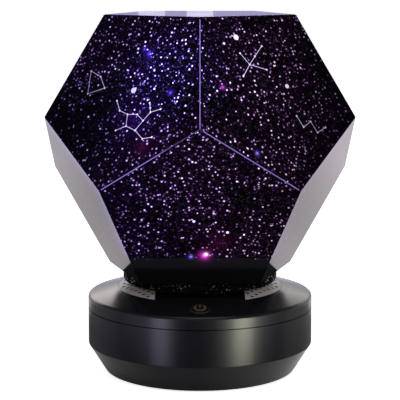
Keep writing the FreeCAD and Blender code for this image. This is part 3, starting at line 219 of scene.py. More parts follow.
# Each row: degrees round the bowl, from the front towards +X, and the share of card_light there.
cards = (
    (-180, (0.040, 0.040, 0.040)), (-150, (0.053, 0.053, 0.053)), (-125, (0.127, 0.127, 0.147)),
    (-97, (0.190, 0.196, 0.240)), (-74, (0.056, 0.056, 0.075)), (-60, (0.058, 0.058, 0.084)),
    (-53, (0.056, 0.054, 0.080)), (-46, (0.235, 0.224, 0.296)), (-39, (0.305, 0.292, 0.375)),
    (-35, (0.250, 0.240, 0.310)), (-29, (0.080, 0.077, 0.104)), (-22, (0.018, 0.017, 0.026)),
    (-10, (0.007, 0.006, 0.011)), (0, (0.008, 0.007, 0.009)), (12, (0.018, 0.018, 0.020)),
    (24, (0.100, 0.102, 0.092)), (32, (0.330, 0.335, 0.290)), (38, (0.980, 0.970, 0.800)),
    (49, (1.0, 0.990, 0.810)), (57, (0.250, 0.250, 0.230)), (66, (0.110, 0.115, 0.115)),
    (80, (0.098, 0.101, 0.109)), (100, (0.265, 0.275, 0.287)), (125, (0.147, 0.153, 0.147)),
    (180, (0.067, 0.067, 0.067)),
)
card_paint, tree = stage_material("lit_cards")
side = put(tree, "ShaderNodeSeparateXYZ", {0: put(tree, "ShaderNodeTexCoord").outputs["Object"]}).outputs
azimuth = calc(tree, "ARCTAN2", side["X"], calc(tree, "MULTIPLY", side["Y"], -1))
card = put(tree, "ShaderNodeValToRGB", {"Fac": slope(tree, azimuth, -math.pi, math.pi)})
fill_ramp(card.color_ramp, [((degrees + 180) / 360, (*colour, 1)) for degrees, colour in cards])
shine = put(tree, "ShaderNodeEmission", {"Color": card.outputs[0], "Strength": card_light})
put(tree, "ShaderNodeOutputMaterial", {"Surface": shine.outputs[0]})

# Rings of points at even angles under the floor, from just below it almost to the pole.
top_angle, last_angle = 0.5, 88
ring_count, ring_points = 14, 96
down = np.radians(np.linspace(top_angle, last_angle, ring_count))[:, None]
around = np.arange(ring_points)[None, :] * 2 * math.pi / ring_points
points = np.stack([np.cos(down) * np.sin(around), np.cos(down) * np.cos(around),
                   -np.sin(down) + 0 * around], axis=2)
faces = ring_faces(ring_count, ring_points)
bowl = new_mesh("card_bowl", points.reshape(-1, 3) * bowl_reach, faces, card_paint)


# ---------------------------------------------------------------- studio light
# Bright low walls round the table and a dim ceiling. Of six soft boxes two stand beside the lens
# and show in no gloss, two behind the lamp draw its rims, one is overhead and one in front.
world = bpy.data.worlds.new("studio")
bpy.context.scene.world = world
world.use_nodes = True
tree = world.node_tree
tree.nodes.clear()
# Each row: height on a unit ball, and colour there: a violet foot, white walls, a grey ceiling.
wall_levels = (
    (0.0, (0.475, 0.425, 0.74, 1)),
    (0.06, (0.475, 0.425, 0.74, 1)),
    (0.09, (0.95, 0.94, 0.95, 1)),
    (0.30, (0.80, 0.79, 0.80, 1)),
    (0.46, (0.16, 0.16, 0.17, 1)),
    (1.0, (0.16, 0.16, 0.17, 1)),
)
direction = put(tree, "ShaderNodeTexCoord").outputs["Generated"]
height = put(tree, "ShaderNodeSeparateXYZ", {0: direction}).outputs["Z"]
walls = put(tree, "ShaderNodeValToRGB", {"Fac": height})
fill_ramp(walls.color_ramp, wall_levels)
straight = put(tree, "ShaderNodeLightPath").outputs["Is Camera Ray"]
sky = put(tree, "ShaderNodeBackground", {"Color": mix(tree, straight, walls.outputs[0], white)})
put(tree, "ShaderNodeOutputWorld", {"Surface": sky.outputs[0]})


def area_light(name, place, outward, width, height, power, colour=(1, 1, 1), in_gloss=True):
    """A rectangular lamp that shines against its outward direction."""
    light = bpy.data.lights.new(name, "AREA")
    light.shape = "RECTANGLE"
    light.size = width
    light.size_y = height
    light.energy = power
    light.color = colour
    made = bpy.data.objects.new(name, light)
    made.location = place
    made.rotation_euler = outward.to_track_quat("Z", "Y").to_euler()
    made.visible_glossy = in_gloss
    bpy.context.scene.collection.objects.link(made)


# Each row: name, degrees round from the front towards +X, degrees up, metres off, width, height,
# watts, colour, and whether a gloss mirrors it.
boxes = (
    ("box_right", 44, 14, 1.3, 0.22, 0.9, 5.5, (1.0, 1.0, 0.93), False),
    ("box_left", -44, 14, 1.3, 0.22, 0.9, 2.2, (0.92, 0.90, 1.0), False),
    ("box_behind_left", -156, 18, 1.7, 1.15, 0.5, 5.2, (1.0, 0.91, 0.88), True),
    ("box_behind_right", 149, 18, 1.7, 1.6, 0.5, 4.0, (1.0, 0.92, 0.87), True),
    ("box_above", 0, 78, 1.6, 1.6, 1.6, 12, (1, 1, 1), True),
    ("box_front", 8, 50, 1.8, 1.0, 0.7, 7, (1, 1, 1), True),
)
for name, azimuth, elevation, distance, *rest in boxes:
    turn, rise = math.radians(azimuth), math.radians(elevation)
    outward = Vector((math.sin(turn) * math.cos(rise), -math.cos(turn) * math.cos(rise), math.sin(rise)))
    area_light(name, shell_centre + outward * distance, outward, *rest)

# Two low windows behind the lamp, which lie in the gloss of its top.
window_size, window_power = (0.07, 0.05), 0.009
window_back, window_level = 3.0, 0.352
for name, aside in (("window_left", -0.128), ("window_middle", 0.0)):
    place = (aside, window_back, window_level)
    area_light(name, place, Vector((0, 1, 0)), *window_size, window_power)


# ---------------------------------------------------------------- housings and base plate
# Injection-moulded plastic, black right through, screwed together from below. The outside is
# spark-eroded to a fine satin grain, a little glossier where hands and cloths have rubbed it.
def new_material(name, values=None):
    """A material with one Principled shader, whose plain values are set on its own sockets."""
    made = bpy.data.materials.new(name)
    made.use_nodes = True
    made.cycles.emission_sampling = "NONE"
    shader = made.node_tree.nodes["Principled BSDF"]
    for socket, value in (values or {}).items():
        shader.inputs[socket].default_value = value
    return made, made.node_tree, shader


def new_group(name, inputs, outputs):
    """An empty node group with named sockets; inputs are (name, kind, value) rows."""
    made = bpy.data.node_groups.new(name, "ShaderNodeTree")
    for label, kind, value in inputs:
        socket = made.interface.new_socket(label, in_out="INPUT", socket_type=kind)
        if value is not None:
            socket.default_value = value
    for label, kind in outputs:
        made.interface.new_socket(label, in_out="OUTPUT", socket_type=kind)
    return made, made.nodes.new("NodeGroupInput").outputs, made.nodes.new("NodeGroupOutput").inputs


def dress(material, *names):
    """Gives CAD nodes a material in place of their plain one."""
    for name in names:
        for place in nodes[name].material_slots:
            place.material = material


def noise(tree, place, scale, detail):
    """The value of one Noise Texture node."""
    inputs = {"Vector": place, "Scale": scale, "Detail": detail}
    return put(tree, "ShaderNodeTexNoise", inputs).outputs["Fac"]


# Fine noise is the height. Roughness swings by Spread either way, in patches about two
# centimetres across.
patch_scale = 46.0
bump_strength = 0.5
grain, given, out = new_group(
    "grain",
    [("Vector", "NodeSocketVector", None), ("Fineness", "NodeSocketFloat", 2600.0),
     ("Roughness", "NodeSocketFloat", 0.4), ("Spread", "NodeSocketFloat", 0.08)],
    [("Height", "NodeSocketFloat"), ("Roughness", "NodeSocketFloat")])
grain.links.new(noise(grain, given["Vector"], given["Fineness"], 3.0), out["Height"])
swing = calc(grain, "SUBTRACT", noise(grain, given["Vector"], patch_scale, 4.0), 0.5)
swing = times(grain, swing, given["Spread"], 2.0)
grain.links.new(calc(grain, "ADD", given["Roughness"], swing), out["Roughness"])


def add_grain(tree, shader, fineness, roughness, spread, depth):
    """Feeds a shader's roughness and normal from the grain group, and returns the coordinates."""
    place = put(tree, "ShaderNodeTexCoord").outputs["Object"]
    inputs = {"Vector": place, "Fineness": fineness, "Roughness": roughness, "Spread": spread}
    used = put(tree, "ShaderNodeGroup", inputs, node_tree=grain)
    tree.links.new(used.outputs["Roughness"], shader.inputs["Roughness"])
    bump = put(tree, "ShaderNodeBump", {"Height": used.outputs["Height"], "Distance": depth,
                                        "Strength": bump_strength})
    tree.links.new(bump.outputs[0], shader.inputs["Normal"])
    return place


housing_black, tree, shader = new_material(
    "housing_black", {"Base Color": (0.0040, 0.0037, 0.0052, 1), "IOR": 1.26})
add_grain(tree, shader, fineness=2600, roughness=0.23, spread=0.04, depth=0.00001)
dress(housing_black, "lower_housing", "upper_housing", "base_plate")


# ---------------------------------------------------------------- feet and metal parts
# Four rubber pads stuck into the base plate, and the plated steel of the screws, the mechanism
# plate, the motor's shaft and the inlet's shell.
rubber, tree, shader = new_material(
    "rubber", {"Base Color": (0.022, 0.022, 0.021, 1), "Specular IOR Level": 0.3})
add_grain(tree, shader, fineness=1500, roughness=0.75, spread=0.10, depth=0.00005)
dress(rubber, "rubber_feet")

steel, tree, shader = new_material("steel", {"Base Color": (0.56, 0.56, 0.58, 1), "Metallic": 1})
add_grain(tree, shader, fineness=900, roughness=0.34, spread=0.16, depth=0.00001)
dress(steel, "base_screws", "mechanism_plate", "motor_shaft", "inlet_socket")


# ---------------------------------------------------------------- speaker grilles
# Perforated sheet steel, pressed to the dome's curve and powder-coated pale grey. The walls of its holes
# and its edges are painted near black, as painted shade for the dark inside. It is glued into a sunk bed in
# the dome.
def two_tone(tree, place, scale, detail, one, other):
    """Two colours that run into each other by noise."""
    return mix(tree, noise(tree, place, scale, detail), one, other)


# Near black: painted shade on the hole walls, for the dark inside the holes.
hole_shade_black = (0.008, 0.008, 0.008, 1)
wall_steepness, face_steepness = 0.4, 0.7
grille_paint, tree, shader = new_material("grille_paint", {"Specular IOR Level": 0.5})
place = add_grain(tree, shader, fineness=1100, roughness=0.42, spread=0.10, depth=0.00003)
coat = two_tone(tree, place, 30.0, 5.0, (0.40, 0.36, 0.36, 1), (0.50, 0.45, 0.45, 1))
facing = put(tree, "ShaderNodeTexCoord").outputs["Normal"]
facing = put(tree, "ShaderNodeSeparateXYZ", {0: facing}).outputs["Z"]
# Painted shade: steep surfaces, which are the walls of the holes and the sheet's edges, turn near black.
coat_unshaded = slope(tree, facing, wall_steepness, face_steepness)
tree.links.new(mix(tree, coat_unshaded, hole_shade_black, coat), shader.inputs["Base Color"])
dress(grille_paint, "grille_left", "grille_right")


# ---------------------------------------------------------------- speakers
# Small drivers with pressed paper cones in black baskets; only their faces show, through the
# grilles' holes.
cone_paper, tree, shader = new_material("cone_paper", {"Base Color": (0.006, 0.006, 0.006, 1), "IOR": 1.2})
add_grain(tree, shader, fineness=700, roughness=0.7, spread=0.12, depth=0.00008)
dress(cone_paper, "speaker_left", "speaker_right")


# ---------------------------------------------------------------- power button
# A satin black cap that slides square to the dome. The power sign on its crown is hot-stamped
# gold foil: a ring that is open at the back, and a bar through the gap.
button_black, tree, shader = new_material(
    "button_black", {"Base Color": (0.005, 0.005, 0.006, 1), "IOR": 1.30})
add_grain(tree, shader, fineness=2600, roughness=0.30, spread=0.06, depth=0.00002)
dress(button_black, "power_button", "tact_switch")

foil, tree, shader = new_material("gold_foil", {"Metallic": 0.55})
place = add_grain(tree, shader, fineness=1800, roughness=0.38, spread=0.10, depth=0.00001)
gold = two_tone(tree, place, 700.0, 2.0, (0.22, 0.15, 0.055, 1), (0.34, 0.25, 0.11, 1))
tree.links.new(gold, shader.inputs["Base Color"])


def band(path, outward, width, sunk, proud):
    """A strip of rectangular section along a path: at each point the section lies across the
    path's direction and along the outward direction there."""
    path, outward = np.asarray(path, float), np.asarray(outward, float)
    ahead = np.gradient(path, axis=0)
    aside = np.cross(outward, ahead)
    aside *= width / 2 / np.linalg.norm(aside, axis=1, keepdims=True)
    rings = np.stack([path + aside - outward * sunk, path + aside + outward * proud,
                      path - aside + outward * proud, path - aside - outward * sunk], axis=1)
    last = len(path) * 4 - 4
    ends = [[3, 2, 1, 0], [last, last + 1, last + 2, last + 3]]
    return rings.reshape(-1, 3), ring_faces(len(path), 4) + ends


def merged(parts):
    """One array of points and one list of faces out of several."""
    points, faces, start = [], [], 0
    for some_points, some_faces in parts:
        points.append(some_points)
        faces += [[corner + start for corner in face] for face in some_faces]
        start += len(some_points)
    return np.concatenate(points), faces


def points_of(node):
    """The mesh points of a CAD node, as an array."""
    mesh = nodes[node].data
    flat = np.empty(len(mesh.vertices) * 3)
    mesh.vertices.foreach_get("co", flat)
    return flat.reshape(-1, 3)


# The button's own directions, and the top of its crown, which lies on the middle line.
press = next(joint for joint in frame["joints"] if joint["child"] == "button")
button_out = -np.array(press["axis"])
button_across = np.array((1.0, 0.0, 0.0))
button_back = np.cross(button_out, button_across)
button_points = points_of("power_button")
button_apex = button_points[(button_points @ button_out).argmax()]
button_apex = button_apex - button_across * button_apex[0]
crown_radius = 0.080
sign_radius = 0.0036
sign_stroke = 0.00068
sign_gap = math.radians(34)
sign_steps = 49
bar_near, bar_far, bar_steps = 0.0006, 0.0049, 5
foil_sunk, foil_proud = 0.0001, 0.00006


def on_crown(across, back):
    """Points on the button's spherical crown: the crown falls away from its apex by its radius
    less the root of the radius squared less the distance squared."""
    fall = crown_radius - np.sqrt(crown_radius ** 2 - across ** 2 - back ** 2)
    spot = button_apex + np.outer(across, button_across) + np.outer(back, button_back)
    return spot - np.outer(fall, button_out)


turn = np.linspace(sign_gap, 2 * math.pi - sign_gap, sign_steps)
ring = on_crown(sign_radius * np.sin(turn), sign_radius * np.cos(turn))
up_the_bar = np.linspace(bar_near, bar_far, bar_steps)
bar = on_crown(up_the_bar * 0, up_the_bar)
parts = [band(path, np.tile(button_out, (len(path), 1)), sign_stroke, foil_sunk, foil_proud)
         for path in (ring, bar)]
sign = new_mesh("power_sign", *merged(parts), foil)
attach(sign, "button")


# ---------------------------------------------------------------- boards and battery
# Glass-fibre boards under green solder mask stand on moulded posts, and a cell in a blue shrink
# sleeve lies on saddles, all inside the closed base.
mask, tree, shader = new_material("solder_mask", {"Base Color": (0.012, 0.10, 0.045, 1)})
add_grain(tree, shader, fineness=500, roughness=0.35, spread=0.20, depth=0.00004)
dress(mask, "main_board", "charge_board", "switch_board")

sleeve, tree, shader = new_material("shrink_sleeve", {"Base Color": (0.02, 0.07, 0.26, 1)})
add_grain(tree, shader, fineness=240, roughness=0.28, spread=0.12, depth=0.00006)
dress(sleeve, "battery_cell")


# ---------------------------------------------------------------- drive
# A gear motor in a drawn can turns a brass pinion and, through it, the turntable's moulded
# nylon wheel. Pillars and the hub's bush are turned brass, the collar is nylon.
can, tree, shader = new_material("motor_can", {"Base Color": (0.50, 0.50, 0.52, 1), "Metallic": 1})
add_grain(tree, shader, fineness=400, roughness=0.30, spread=0.20, depth=0.00002)
dress(can, "gear_motor")

brass, tree, shader = new_material("brass", {"Base Color": (0.62, 0.44, 0.17, 1), "Metallic": 1})
add_grain(tree, shader, fineness=800, roughness=0.26, spread=0.18, depth=0.00001)
dress(brass, "drive_pinion", "plate_pillars", "bearing_bush")

nylon, tree, shader = new_material("nylon", {"Base Color": (0.62, 0.60, 0.54, 1)})
add_grain(tree, shader, fineness=1200, roughness=0.45, spread=0.14, depth=0.00003)
dress(nylon, "turntable_gear", "retaining_collar")


# ---------------------------------------------------------------- lamp
# A black steel tube carries a turned aluminium cup. In it lie a white board with its light
# sources and, over them, a clear domed lens.
post_black, tree, shader = new_material("post_black", {"Base Color": (0.014, 0.014, 0.016, 1)})
add_grain(tree, shader, fineness=900, roughness=0.40, spread=0.14, depth=0.00004)
dress(post_black, "lamp_post")

aluminium, tree, shader = new_material("aluminium", {"Base Color": (0.72, 0.73, 0.74, 1), "Metallic": 1})
add_grain(tree, shader, fineness=900, roughness=0.28, spread=0.18, depth=0.00001)
dress(aluminium, "lamp_cup")

# The sources stand on the board: what lies less than chip_depth under its top is theirs.
_, board_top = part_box("led_board")
chip_depth = 0.0005
chip_floor = board_top.z - chip_depth
chip_light = (0.75, 0.68, 1.0, 1)
board_white, tree, shader = new_material(
    "board_white", {"Base Color": (0.72, 0.72, 0.70, 1), "Emission Strength": 1})
place = add_grain(tree, shader, fineness=600, roughness=0.45, spread=0.14, depth=0.00002)
height = put(tree, "ShaderNodeSeparateXYZ", {0: place}).outputs["Z"]
chips = calc(tree, "GREATER_THAN", height, chip_floor)
tree.links.new(mix(tree, chips, black, chip_light), shader.inputs["Emission Color"])
dress(board_white, "led_board")

lens_clear, tree, shader = new_material(
    "lens_clear", {"Base Color": (0.97, 0.98, 1, 1), "Transmission Weight": 1, "IOR": 1.49})
add_grain(tree, shader, fineness=300, roughness=0.04, spread=0.03, depth=0.000005)
dress(lens_clear, "lamp_lens")


# ---------------------------------------------------------------- turntable
# Glossy black moulding with fine pale flecks in its surface, as in speckled enamel. They are
# dense in patches, and densest and brightest at the disc's left and right.
edge_outside, edge_inside = 1.15, 0.75
halo_fall = -0.35
# One dot in each of a share of the cells, from half to all of Size in radius. The halo falls off
# as the exponential of halo_fall times the square of the distance in radii.
dots, given, out = new_group(
    "dots",
    [("Vector", "NodeSocketVector", None), ("Scale", "NodeSocketFloat", 400.0),
     ("Size", "NodeSocketFloat", 0.2), ("Share", "NodeSocketFloat", 1.0)],
    [("Mask", "NodeSocketFloat"), ("Halo", "NodeSocketFloat"), ("Chance", "NodeSocketFloat")])
cells = put(dots, "ShaderNodeTexVoronoi",
            {"Vector": given["Vector"], "Scale": given["Scale"], "Randomness": 1.0})
rolls = put(dots, "ShaderNodeSeparateColor", {0: cells.outputs["Color"]}).outputs
kept = calc(dots, "LESS_THAN", rolls[1], given["Share"])
radius = times(dots, given["Size"], slope(dots, rolls[0], 0, 1, 0.5, 1.0))
part = calc(dots, "DIVIDE", cells.outputs["Distance"], radius)
dots.links.new(times(dots, slope(dots, part, edge_outside, edge_inside), kept), out["Mask"])
dots.links.new(times(dots, calc(dots, "EXPONENT", times(dots, part, part, halo_fall)), kept), out["Halo"])
dots.links.new(rolls[2], out["Chance"])


def scatter(tree, place, scale, size, share):
    """The outputs of the dots group with its own values."""
    inputs = {"Vector": place, "Scale": scale, "Size": size, "Share": share}
    return put(tree, "ShaderNodeGroup", inputs, node_tree=dots).outputs


disc_black = (0.0020, 0.0018, 0.0022, 1)
fleck_pale = (0.55, 0.52, 0.46, 1)
fleck_scale, fleck_size = 640, 0.34
# Noise lays out the patches: where it is at thin_at, thin_share of the cells hold a fleck.
patch_fineness, patch_detail = 70.0, 1.0
thin_at, thin_share = 0.42, 0.04
thick_at, thick_share = 0.60, 0.8
# Metres from the middle plane where the flecks start to crowd and to brighten, and where both end.
crowd_from, crowd_to, crowd_most = 0.040, 0.046, 0.9
bright_from, bright_to, bright_least = 0.025, 0.045, 0.4
speckled, tree, shader = new_material("speckled_black", {"IOR": 1.02})
place = add_grain(tree, shader, fineness=300, roughness=0.32, spread=0.08, depth=0.000005)
patches = noise(tree, place, patch_fineness, patch_detail)
patches = slope(tree, patches, thin_at, thick_at, thin_share, thick_share)
aside = calc(tree, "ABSOLUTE", put(tree, "ShaderNodeSeparateXYZ", {0: place}).outputs["X"])
ends = slope(tree, aside, crowd_from, crowd_to, 0.0, crowd_most)
flecks = scatter(tree, place, fleck_scale, fleck_size, calc(tree, "MAXIMUM", patches, ends))
strong = slope(tree, aside, bright_from, bright_to, bright_least, 1.0)
strong = times(tree, flecks["Mask"], flecks["Chance"], strong)
tree.links.new(mix(tree, strong, disc_black, fleck_pale), shader.inputs["Base Color"])
dress(speckled, "turntable")


# ---------------------------------------------------------------- shell: floor ring and frame
# The ring is black moulding. The frame is clear plastic, cemented to it, that carries the lamp's
# light along its ribs, so the seams between the panels shine violet, most in front.
dress(housing_black, "shell_floor_ring")

seam_violet = (0.21, 0.145, 0.52, 1)
# The light fades from the front to the back, and low down.
front_at, back_at, back_light = -0.07, 0.03, 0.05
low_from, low_to, low_light = 0.128, 0.139, 0.12
# Three ribs meet in front. The left one stays dark near their corner, and is lit further out.
corner_height = shell_centre.z + 0.0212
right_of = 0.002
left_dark, left_lit = -0.018, -0.028
ribs, tree, shader = new_material("lit_ribs", {"Base Color": (0.30, 0.26, 0.48, 1), "Emission Strength": 1})
place = add_grain(tree, shader, fineness=200, roughness=0.20, spread=0.10, depth=0.00001)
side = put(tree, "ShaderNodeSeparateXYZ", {0: place}).outputs
in_front = slope(tree, side["Y"], back_at, front_at, back_light, 1.0)
upper = slope(tree, side["Z"], low_from, low_to, low_light, 1.0)
above = calc(tree, "GREATER_THAN", side["Z"], corner_height)
on_the_right = calc(tree, "GREATER_THAN", side["X"], right_of)
lit = calc(tree, "MAXIMUM", above, on_the_right)
lit = calc(tree, "MAXIMUM", lit, slope(tree, side["X"], left_dark, left_lit))
shine = mix(tree, times(tree, in_front, upper, lit), black, seam_violet)
tree.links.new(shine, shader.inputs["Emission Color"])
dress(ribs, "shell_frame")


# ---------------------------------------------------------------- shell: printed panels
# Clear sheet, cemented to the ribs and printed black but for thousands of clear dots, which the
# lamp inside lights up as stars, here and there with a glow of blue or magenta ink round them.
panels = [name for name in nodes if name.endswith("_panel") or "_panel_" in name]
panels.sort()


def panel_frame(name):
    """A panel's outer face: its middle, its outward direction, and its directions across and up."""
    points = points_of(name)
    corners = np.unique(points.round(6), axis=0)
    centre = np.array(shell_centre)
    outward = corners.mean(0) - centre
    outward /= np.linalg.norm(outward)
    reach = ((points - centre) @ outward).max()
    across = np.cross((0, 0, 1), outward)
    across = np.array((1.0, 0, 0)) if np.linalg.norm(across) < 0.01 else across / np.linalg.norm(across)
    return centre + outward * reach, outward, across, np.cross(outward, across)


def on_panel(name, across, up):
    """A point on a panel's outer face, from millimetres across and up from its middle."""
    middle, _, side, rise = panel_frame(name)
    return middle + side * across / 1000 + rise * up / 1000


def scaled(tree, colour, amount):
    """A colour times a number."""
    return put(tree, "ShaderNodeVectorMath", {0: colour, "Scale": amount}, operation="SCALE").outputs[0]


def added(tree, one, other):
    """The sum of two colours."""
    return put(tree, "ShaderNodeVectorMath", {0: one, 1: other}, operation="ADD").outputs[0]


def apart(tree, one, other):
    """The distance of two places."""
    return put(tree, "ShaderNodeVectorMath", {0: one, 1: other}, operation="DISTANCE").outputs["Value"]


# The glow is the exponential of glow_fall times the distance over Reach.
glow_fall = -1.6
glow_spot, given, out = new_group(
    "glow_spot",
    [("Vector", "NodeSocketVector", None), ("Place", "NodeSocketVector", None),
     ("Reach", "NodeSocketFloat", 0.01)],
    [("Amount", "NodeSocketFloat")])
part = calc(glow_spot, "DIVIDE", apart(glow_spot, given["Vector"], given["Place"]), given["Reach"])
glow_spot.links.new(calc(glow_spot, "EXPONENT", times(glow_spot, part, glow_fall)), out["Amount"])

print_black = (0.0004, 0.0003, 0.0006, 1)
strip_black = (0.0052, 0.0052, 0.0072, 1)
# No stars are printed below bare_height. The strip from there down to strip_height is greyer.
bare_height, bare_edge = 0.0930, 0.003
strip_height, strip_edge = 0.0835, 0.001
# The bare band turns matt below matt_height and, at the sides, only below a slanting line, on
# which the height plus matt_lean times the distance aside stays matt_reach.
matt_height, matt_height_edge = 0.0900, 0.0015
matt_lean, matt_reach, matt_reach_edge = 1.95, 0.1765, 0.0017
matt_roughness = 0.85
# Each row: the ink at the left, at the right, and round the blue middle of one panel.
dim_inks = ((0.34, 0.11, 0.92, 1), (0.64, 0.20, 0.84, 1), (0.25, 0.10, 1.3, 1))
clear_inks = ((0.66, 0.48, 1.08, 1), (0.96, 0.76, 1.16, 1), (0.70, 0.58, 1.7, 1))
left_at, right_at = -0.05, 0.04
blue_middle = on_panel("upper_panel_5", 26, 12)
blue_inside, blue_outside = 0.018, 0.048
haze_inks = ((0.0007, 0.0003, 0.0011, 1), (0.0006, 0.0001, 0.0008, 1))
# The three sizes of star: cells per metre, and a star's radius in cells. The dust is moved off,
# so that it isn't centred on the stars.
small_scale, small_size = 450, 0.32
dust_scale, dust_size, dust_light = 1000, 0.36, 0.06
dust_offset = (0.37, 0.11, 0.23)
middling_scale, middling_size, middling_share = 190, 0.11, 0.7
# Noise lays out clouds of stars: the share of cells that hold one, and the haze between them.
cloud_scale, cloud_detail = 26.0, 3.0
sparse_at, sparse_share = 0.34, 0.42
dense_at, dense_share = 0.60, 1.0
thin_haze_at, thin_haze = 0.35, 0.3
thick_haze_at, thick_haze = 0.65, 1.8
# A star's light: its least, what its chance adds, and what the rings round it get.
star_least, star_most, star_power = 0.06, 1.15, 1.7
ring_light, middling_ring_light, blue_gain = 0.05, 0.02, 1.5
# The light fades away from the middle plane, and once more at the far right.
middle_at, aside_at, middle_light, aside_light = 0.03, 0.095, 1.2, 0.42
near_right, far_right, near_right_light, far_right_light = 0.045, 0.080, 1.15, 0.46
# The lower side panels face down and aside, so that the outward direction's part aside times its
# part upwards is far below zero: stars are dimmer there, and a violet fringe of light leaks in
# from the seams of the three front panels.
lean_from, lean_to, lean_loss = -0.28, -0.34, 0.7
leak_inks = ((0.11, 0.075, 0.28, 1), (0.055, 0.030, 0.11, 1))
leak_reach = 0.006

star_print, tree, shader = new_material("star_print", {"IOR": 1.10, "Emission Strength": 1})
place = add_grain(tree, shader, fineness=90, roughness=0.08, spread=0.03, depth=0.000004)
side = put(tree, "ShaderNodeSeparateXYZ", {0: place}).outputs
aside = calc(tree, "ABSOLUTE", side["X"])
slant = calc(tree, "ADD", side["Z"], times(tree, aside, matt_lean))
matt = slope(tree, slant, matt_reach + matt_reach_edge, matt_reach)
low = slope(tree, side["Z"], matt_height + matt_height_edge, matt_height)
rough = shader.inputs["Roughness"].links[0].from_socket
rough = calc(tree, "ADD", rough, times(tree, matt, low, matt_roughness))
tree.links.new(rough, shader.inputs["Roughness"])

clouds = noise(tree, place, cloud_scale, cloud_detail)
crowd = slope(tree, clouds, sparse_at, dense_at, sparse_share, dense_share)
small = scatter(tree, place, small_scale, small_size, crowd)
dust = scatter(tree, added(tree, place, dust_offset), dust_scale, dust_size, 1.0)
middling = scatter(tree, place, middling_scale, middling_size, middling_share)
bright = calc(tree, "POWER", small["Chance"], star_power)
blue = slope(tree, apart(tree, place, blue_middle), blue_outside, blue_inside)
right = slope(tree, side["X"], left_at, right_at)
dim_ink, clear_ink = [mix(tree, blue, mix(tree, right, at_left, at_right), in_blue)
                      for at_left, at_right, in_blue in (dim_inks, clear_inks)]
ink = mix(tree, bright, dim_ink, clear_ink)

facing = put(tree, "ShaderNodeTexCoord").outputs["Normal"]
facing = put(tree, "ShaderNodeSeparateXYZ", {0: facing}).outputs
flank = times(tree, calc(tree, "ABSOLUTE", facing["X"]), facing["Z"])
flank = slope(tree, flank, lean_from, lean_to)
front = slope(tree, aside, middle_at, aside_at, middle_light, aside_light)
front = times(tree, front, calc(tree, "MULTIPLY_ADD", flank, -lean_loss, 1.0))
level = times(tree, small["Mask"], calc(tree, "MULTIPLY_ADD", bright, star_most, star_least))
level = calc(tree, "ADD", level, times(tree, dust["Mask"], dust["Chance"], dust_light))
level = calc(tree, "ADD", level, times(tree, middling["Mask"], middling["Chance"]))
level = calc(tree, "ADD", level, times(tree, middling["Halo"], middling_ring_light))
level = times(tree, level, front,
              slope(tree, side["X"], near_right, far_right, near_right_light, far_right_light),
              calc(tree, "MULTIPLY_ADD", blue, blue_gain, 1.0))
stars = scaled(tree, ink, level)
stars = added(tree, stars, scaled(tree, dim_ink, times(tree, small["Halo"], bright, front, ring_light)))
haze = slope(tree, clouds, thin_haze_at, thick_haze_at, thin_haze, thick_haze)
stars = added(tree, stars, scaled(tree, mix(tree, right, *haze_inks), haze))
printed = slope(tree, side["Z"], bare_height - bare_edge, bare_height)
stars = scaled(tree, stars, printed)

# depth is below zero by as far as a point lies inside the nearest of the front panels' planes.
depths = []
for name in ("lower_panel_1", "upper_panel_1", "upper_panel_5"):
    middle, outward, _, _ = panel_frame(name)
    along = put(tree, "ShaderNodeVectorMath", {0: place, 1: outward}, operation="DOT_PRODUCT")
    depths.append(calc(tree, "SUBTRACT", along.outputs["Value"], middle @ outward))
depth = calc(tree, "MAXIMUM", depths[0], calc(tree, "MAXIMUM", depths[1], depths[2]))
leak = times(tree, flank, printed, calc(tree, "EXPONENT", calc(tree, "DIVIDE", depth, leak_reach)))
stars = added(tree, stars, scaled(tree, mix(tree, right, *leak_inks), leak))

strip = slope(tree, side["Z"], strip_height - strip_edge, strip_height + 2 * strip_edge)
strip = times(tree, strip, calc(tree, "SUBTRACT", 1, printed))
tree.links.new(mix(tree, strip, print_black, strip_black), shader.inputs["Base Color"])

# Each row: panel, millimetres across and up from its middle, reach in metres, light.
glows = (
    ("lower_panel_1", 4, -30, 0.0007, (11.0, 6.0, 11.0)),
    ("lower_panel_1", 3, -31, 0.0019, (2.6, 0.2, 2.3)),
    ("lower_panel_1", -6, -32, 0.0009, (0.7, 0.4, 3.0)),
    ("lower_panel_1", 12, -20, 0.0080, (0.026, 0.001, 0.014)),
    ("upper_panel_5", 8, 28, 0.0013, (0.20, 0.09, 3.2)),
    ("upper_panel_5", 3, 31, 0.0009, (0.20, 0.10, 2.0)),
    ("upper_panel_5", 34, 2, 0.0011, (0.24, 0.12, 2.4)),
    ("upper_panel_5", 12, -18, 0.0110, (0.011, 0.001, 0.070)),
    ("upper_panel_5", 10, 24, 0.0120, (0.006, 0.001, 0.030)),
    ("upper_panel_5", 24, -36, 0.0050, (0.045, 0.002, 0.036)),
    ("upper_panel_1", -38, 6, 0.0011, (1.1, 0.12, 1.4)),
    ("upper_panel_1", -26, -40, 0.0009, (0.60, 0.40, 2.6)),
)
for name, across, up, reach, colour in glows:
    inputs = {"Vector": place, "Place": on_panel(name, across, up), "Reach": reach}
    amount = put(tree, "ShaderNodeGroup", inputs, node_tree=glow_spot).outputs["Amount"]
    stars = added(tree, stars, scaled(tree, colour, amount))
tree.links.new(stars, shader.inputs["Emission Color"])
dress(star_print, *panels)


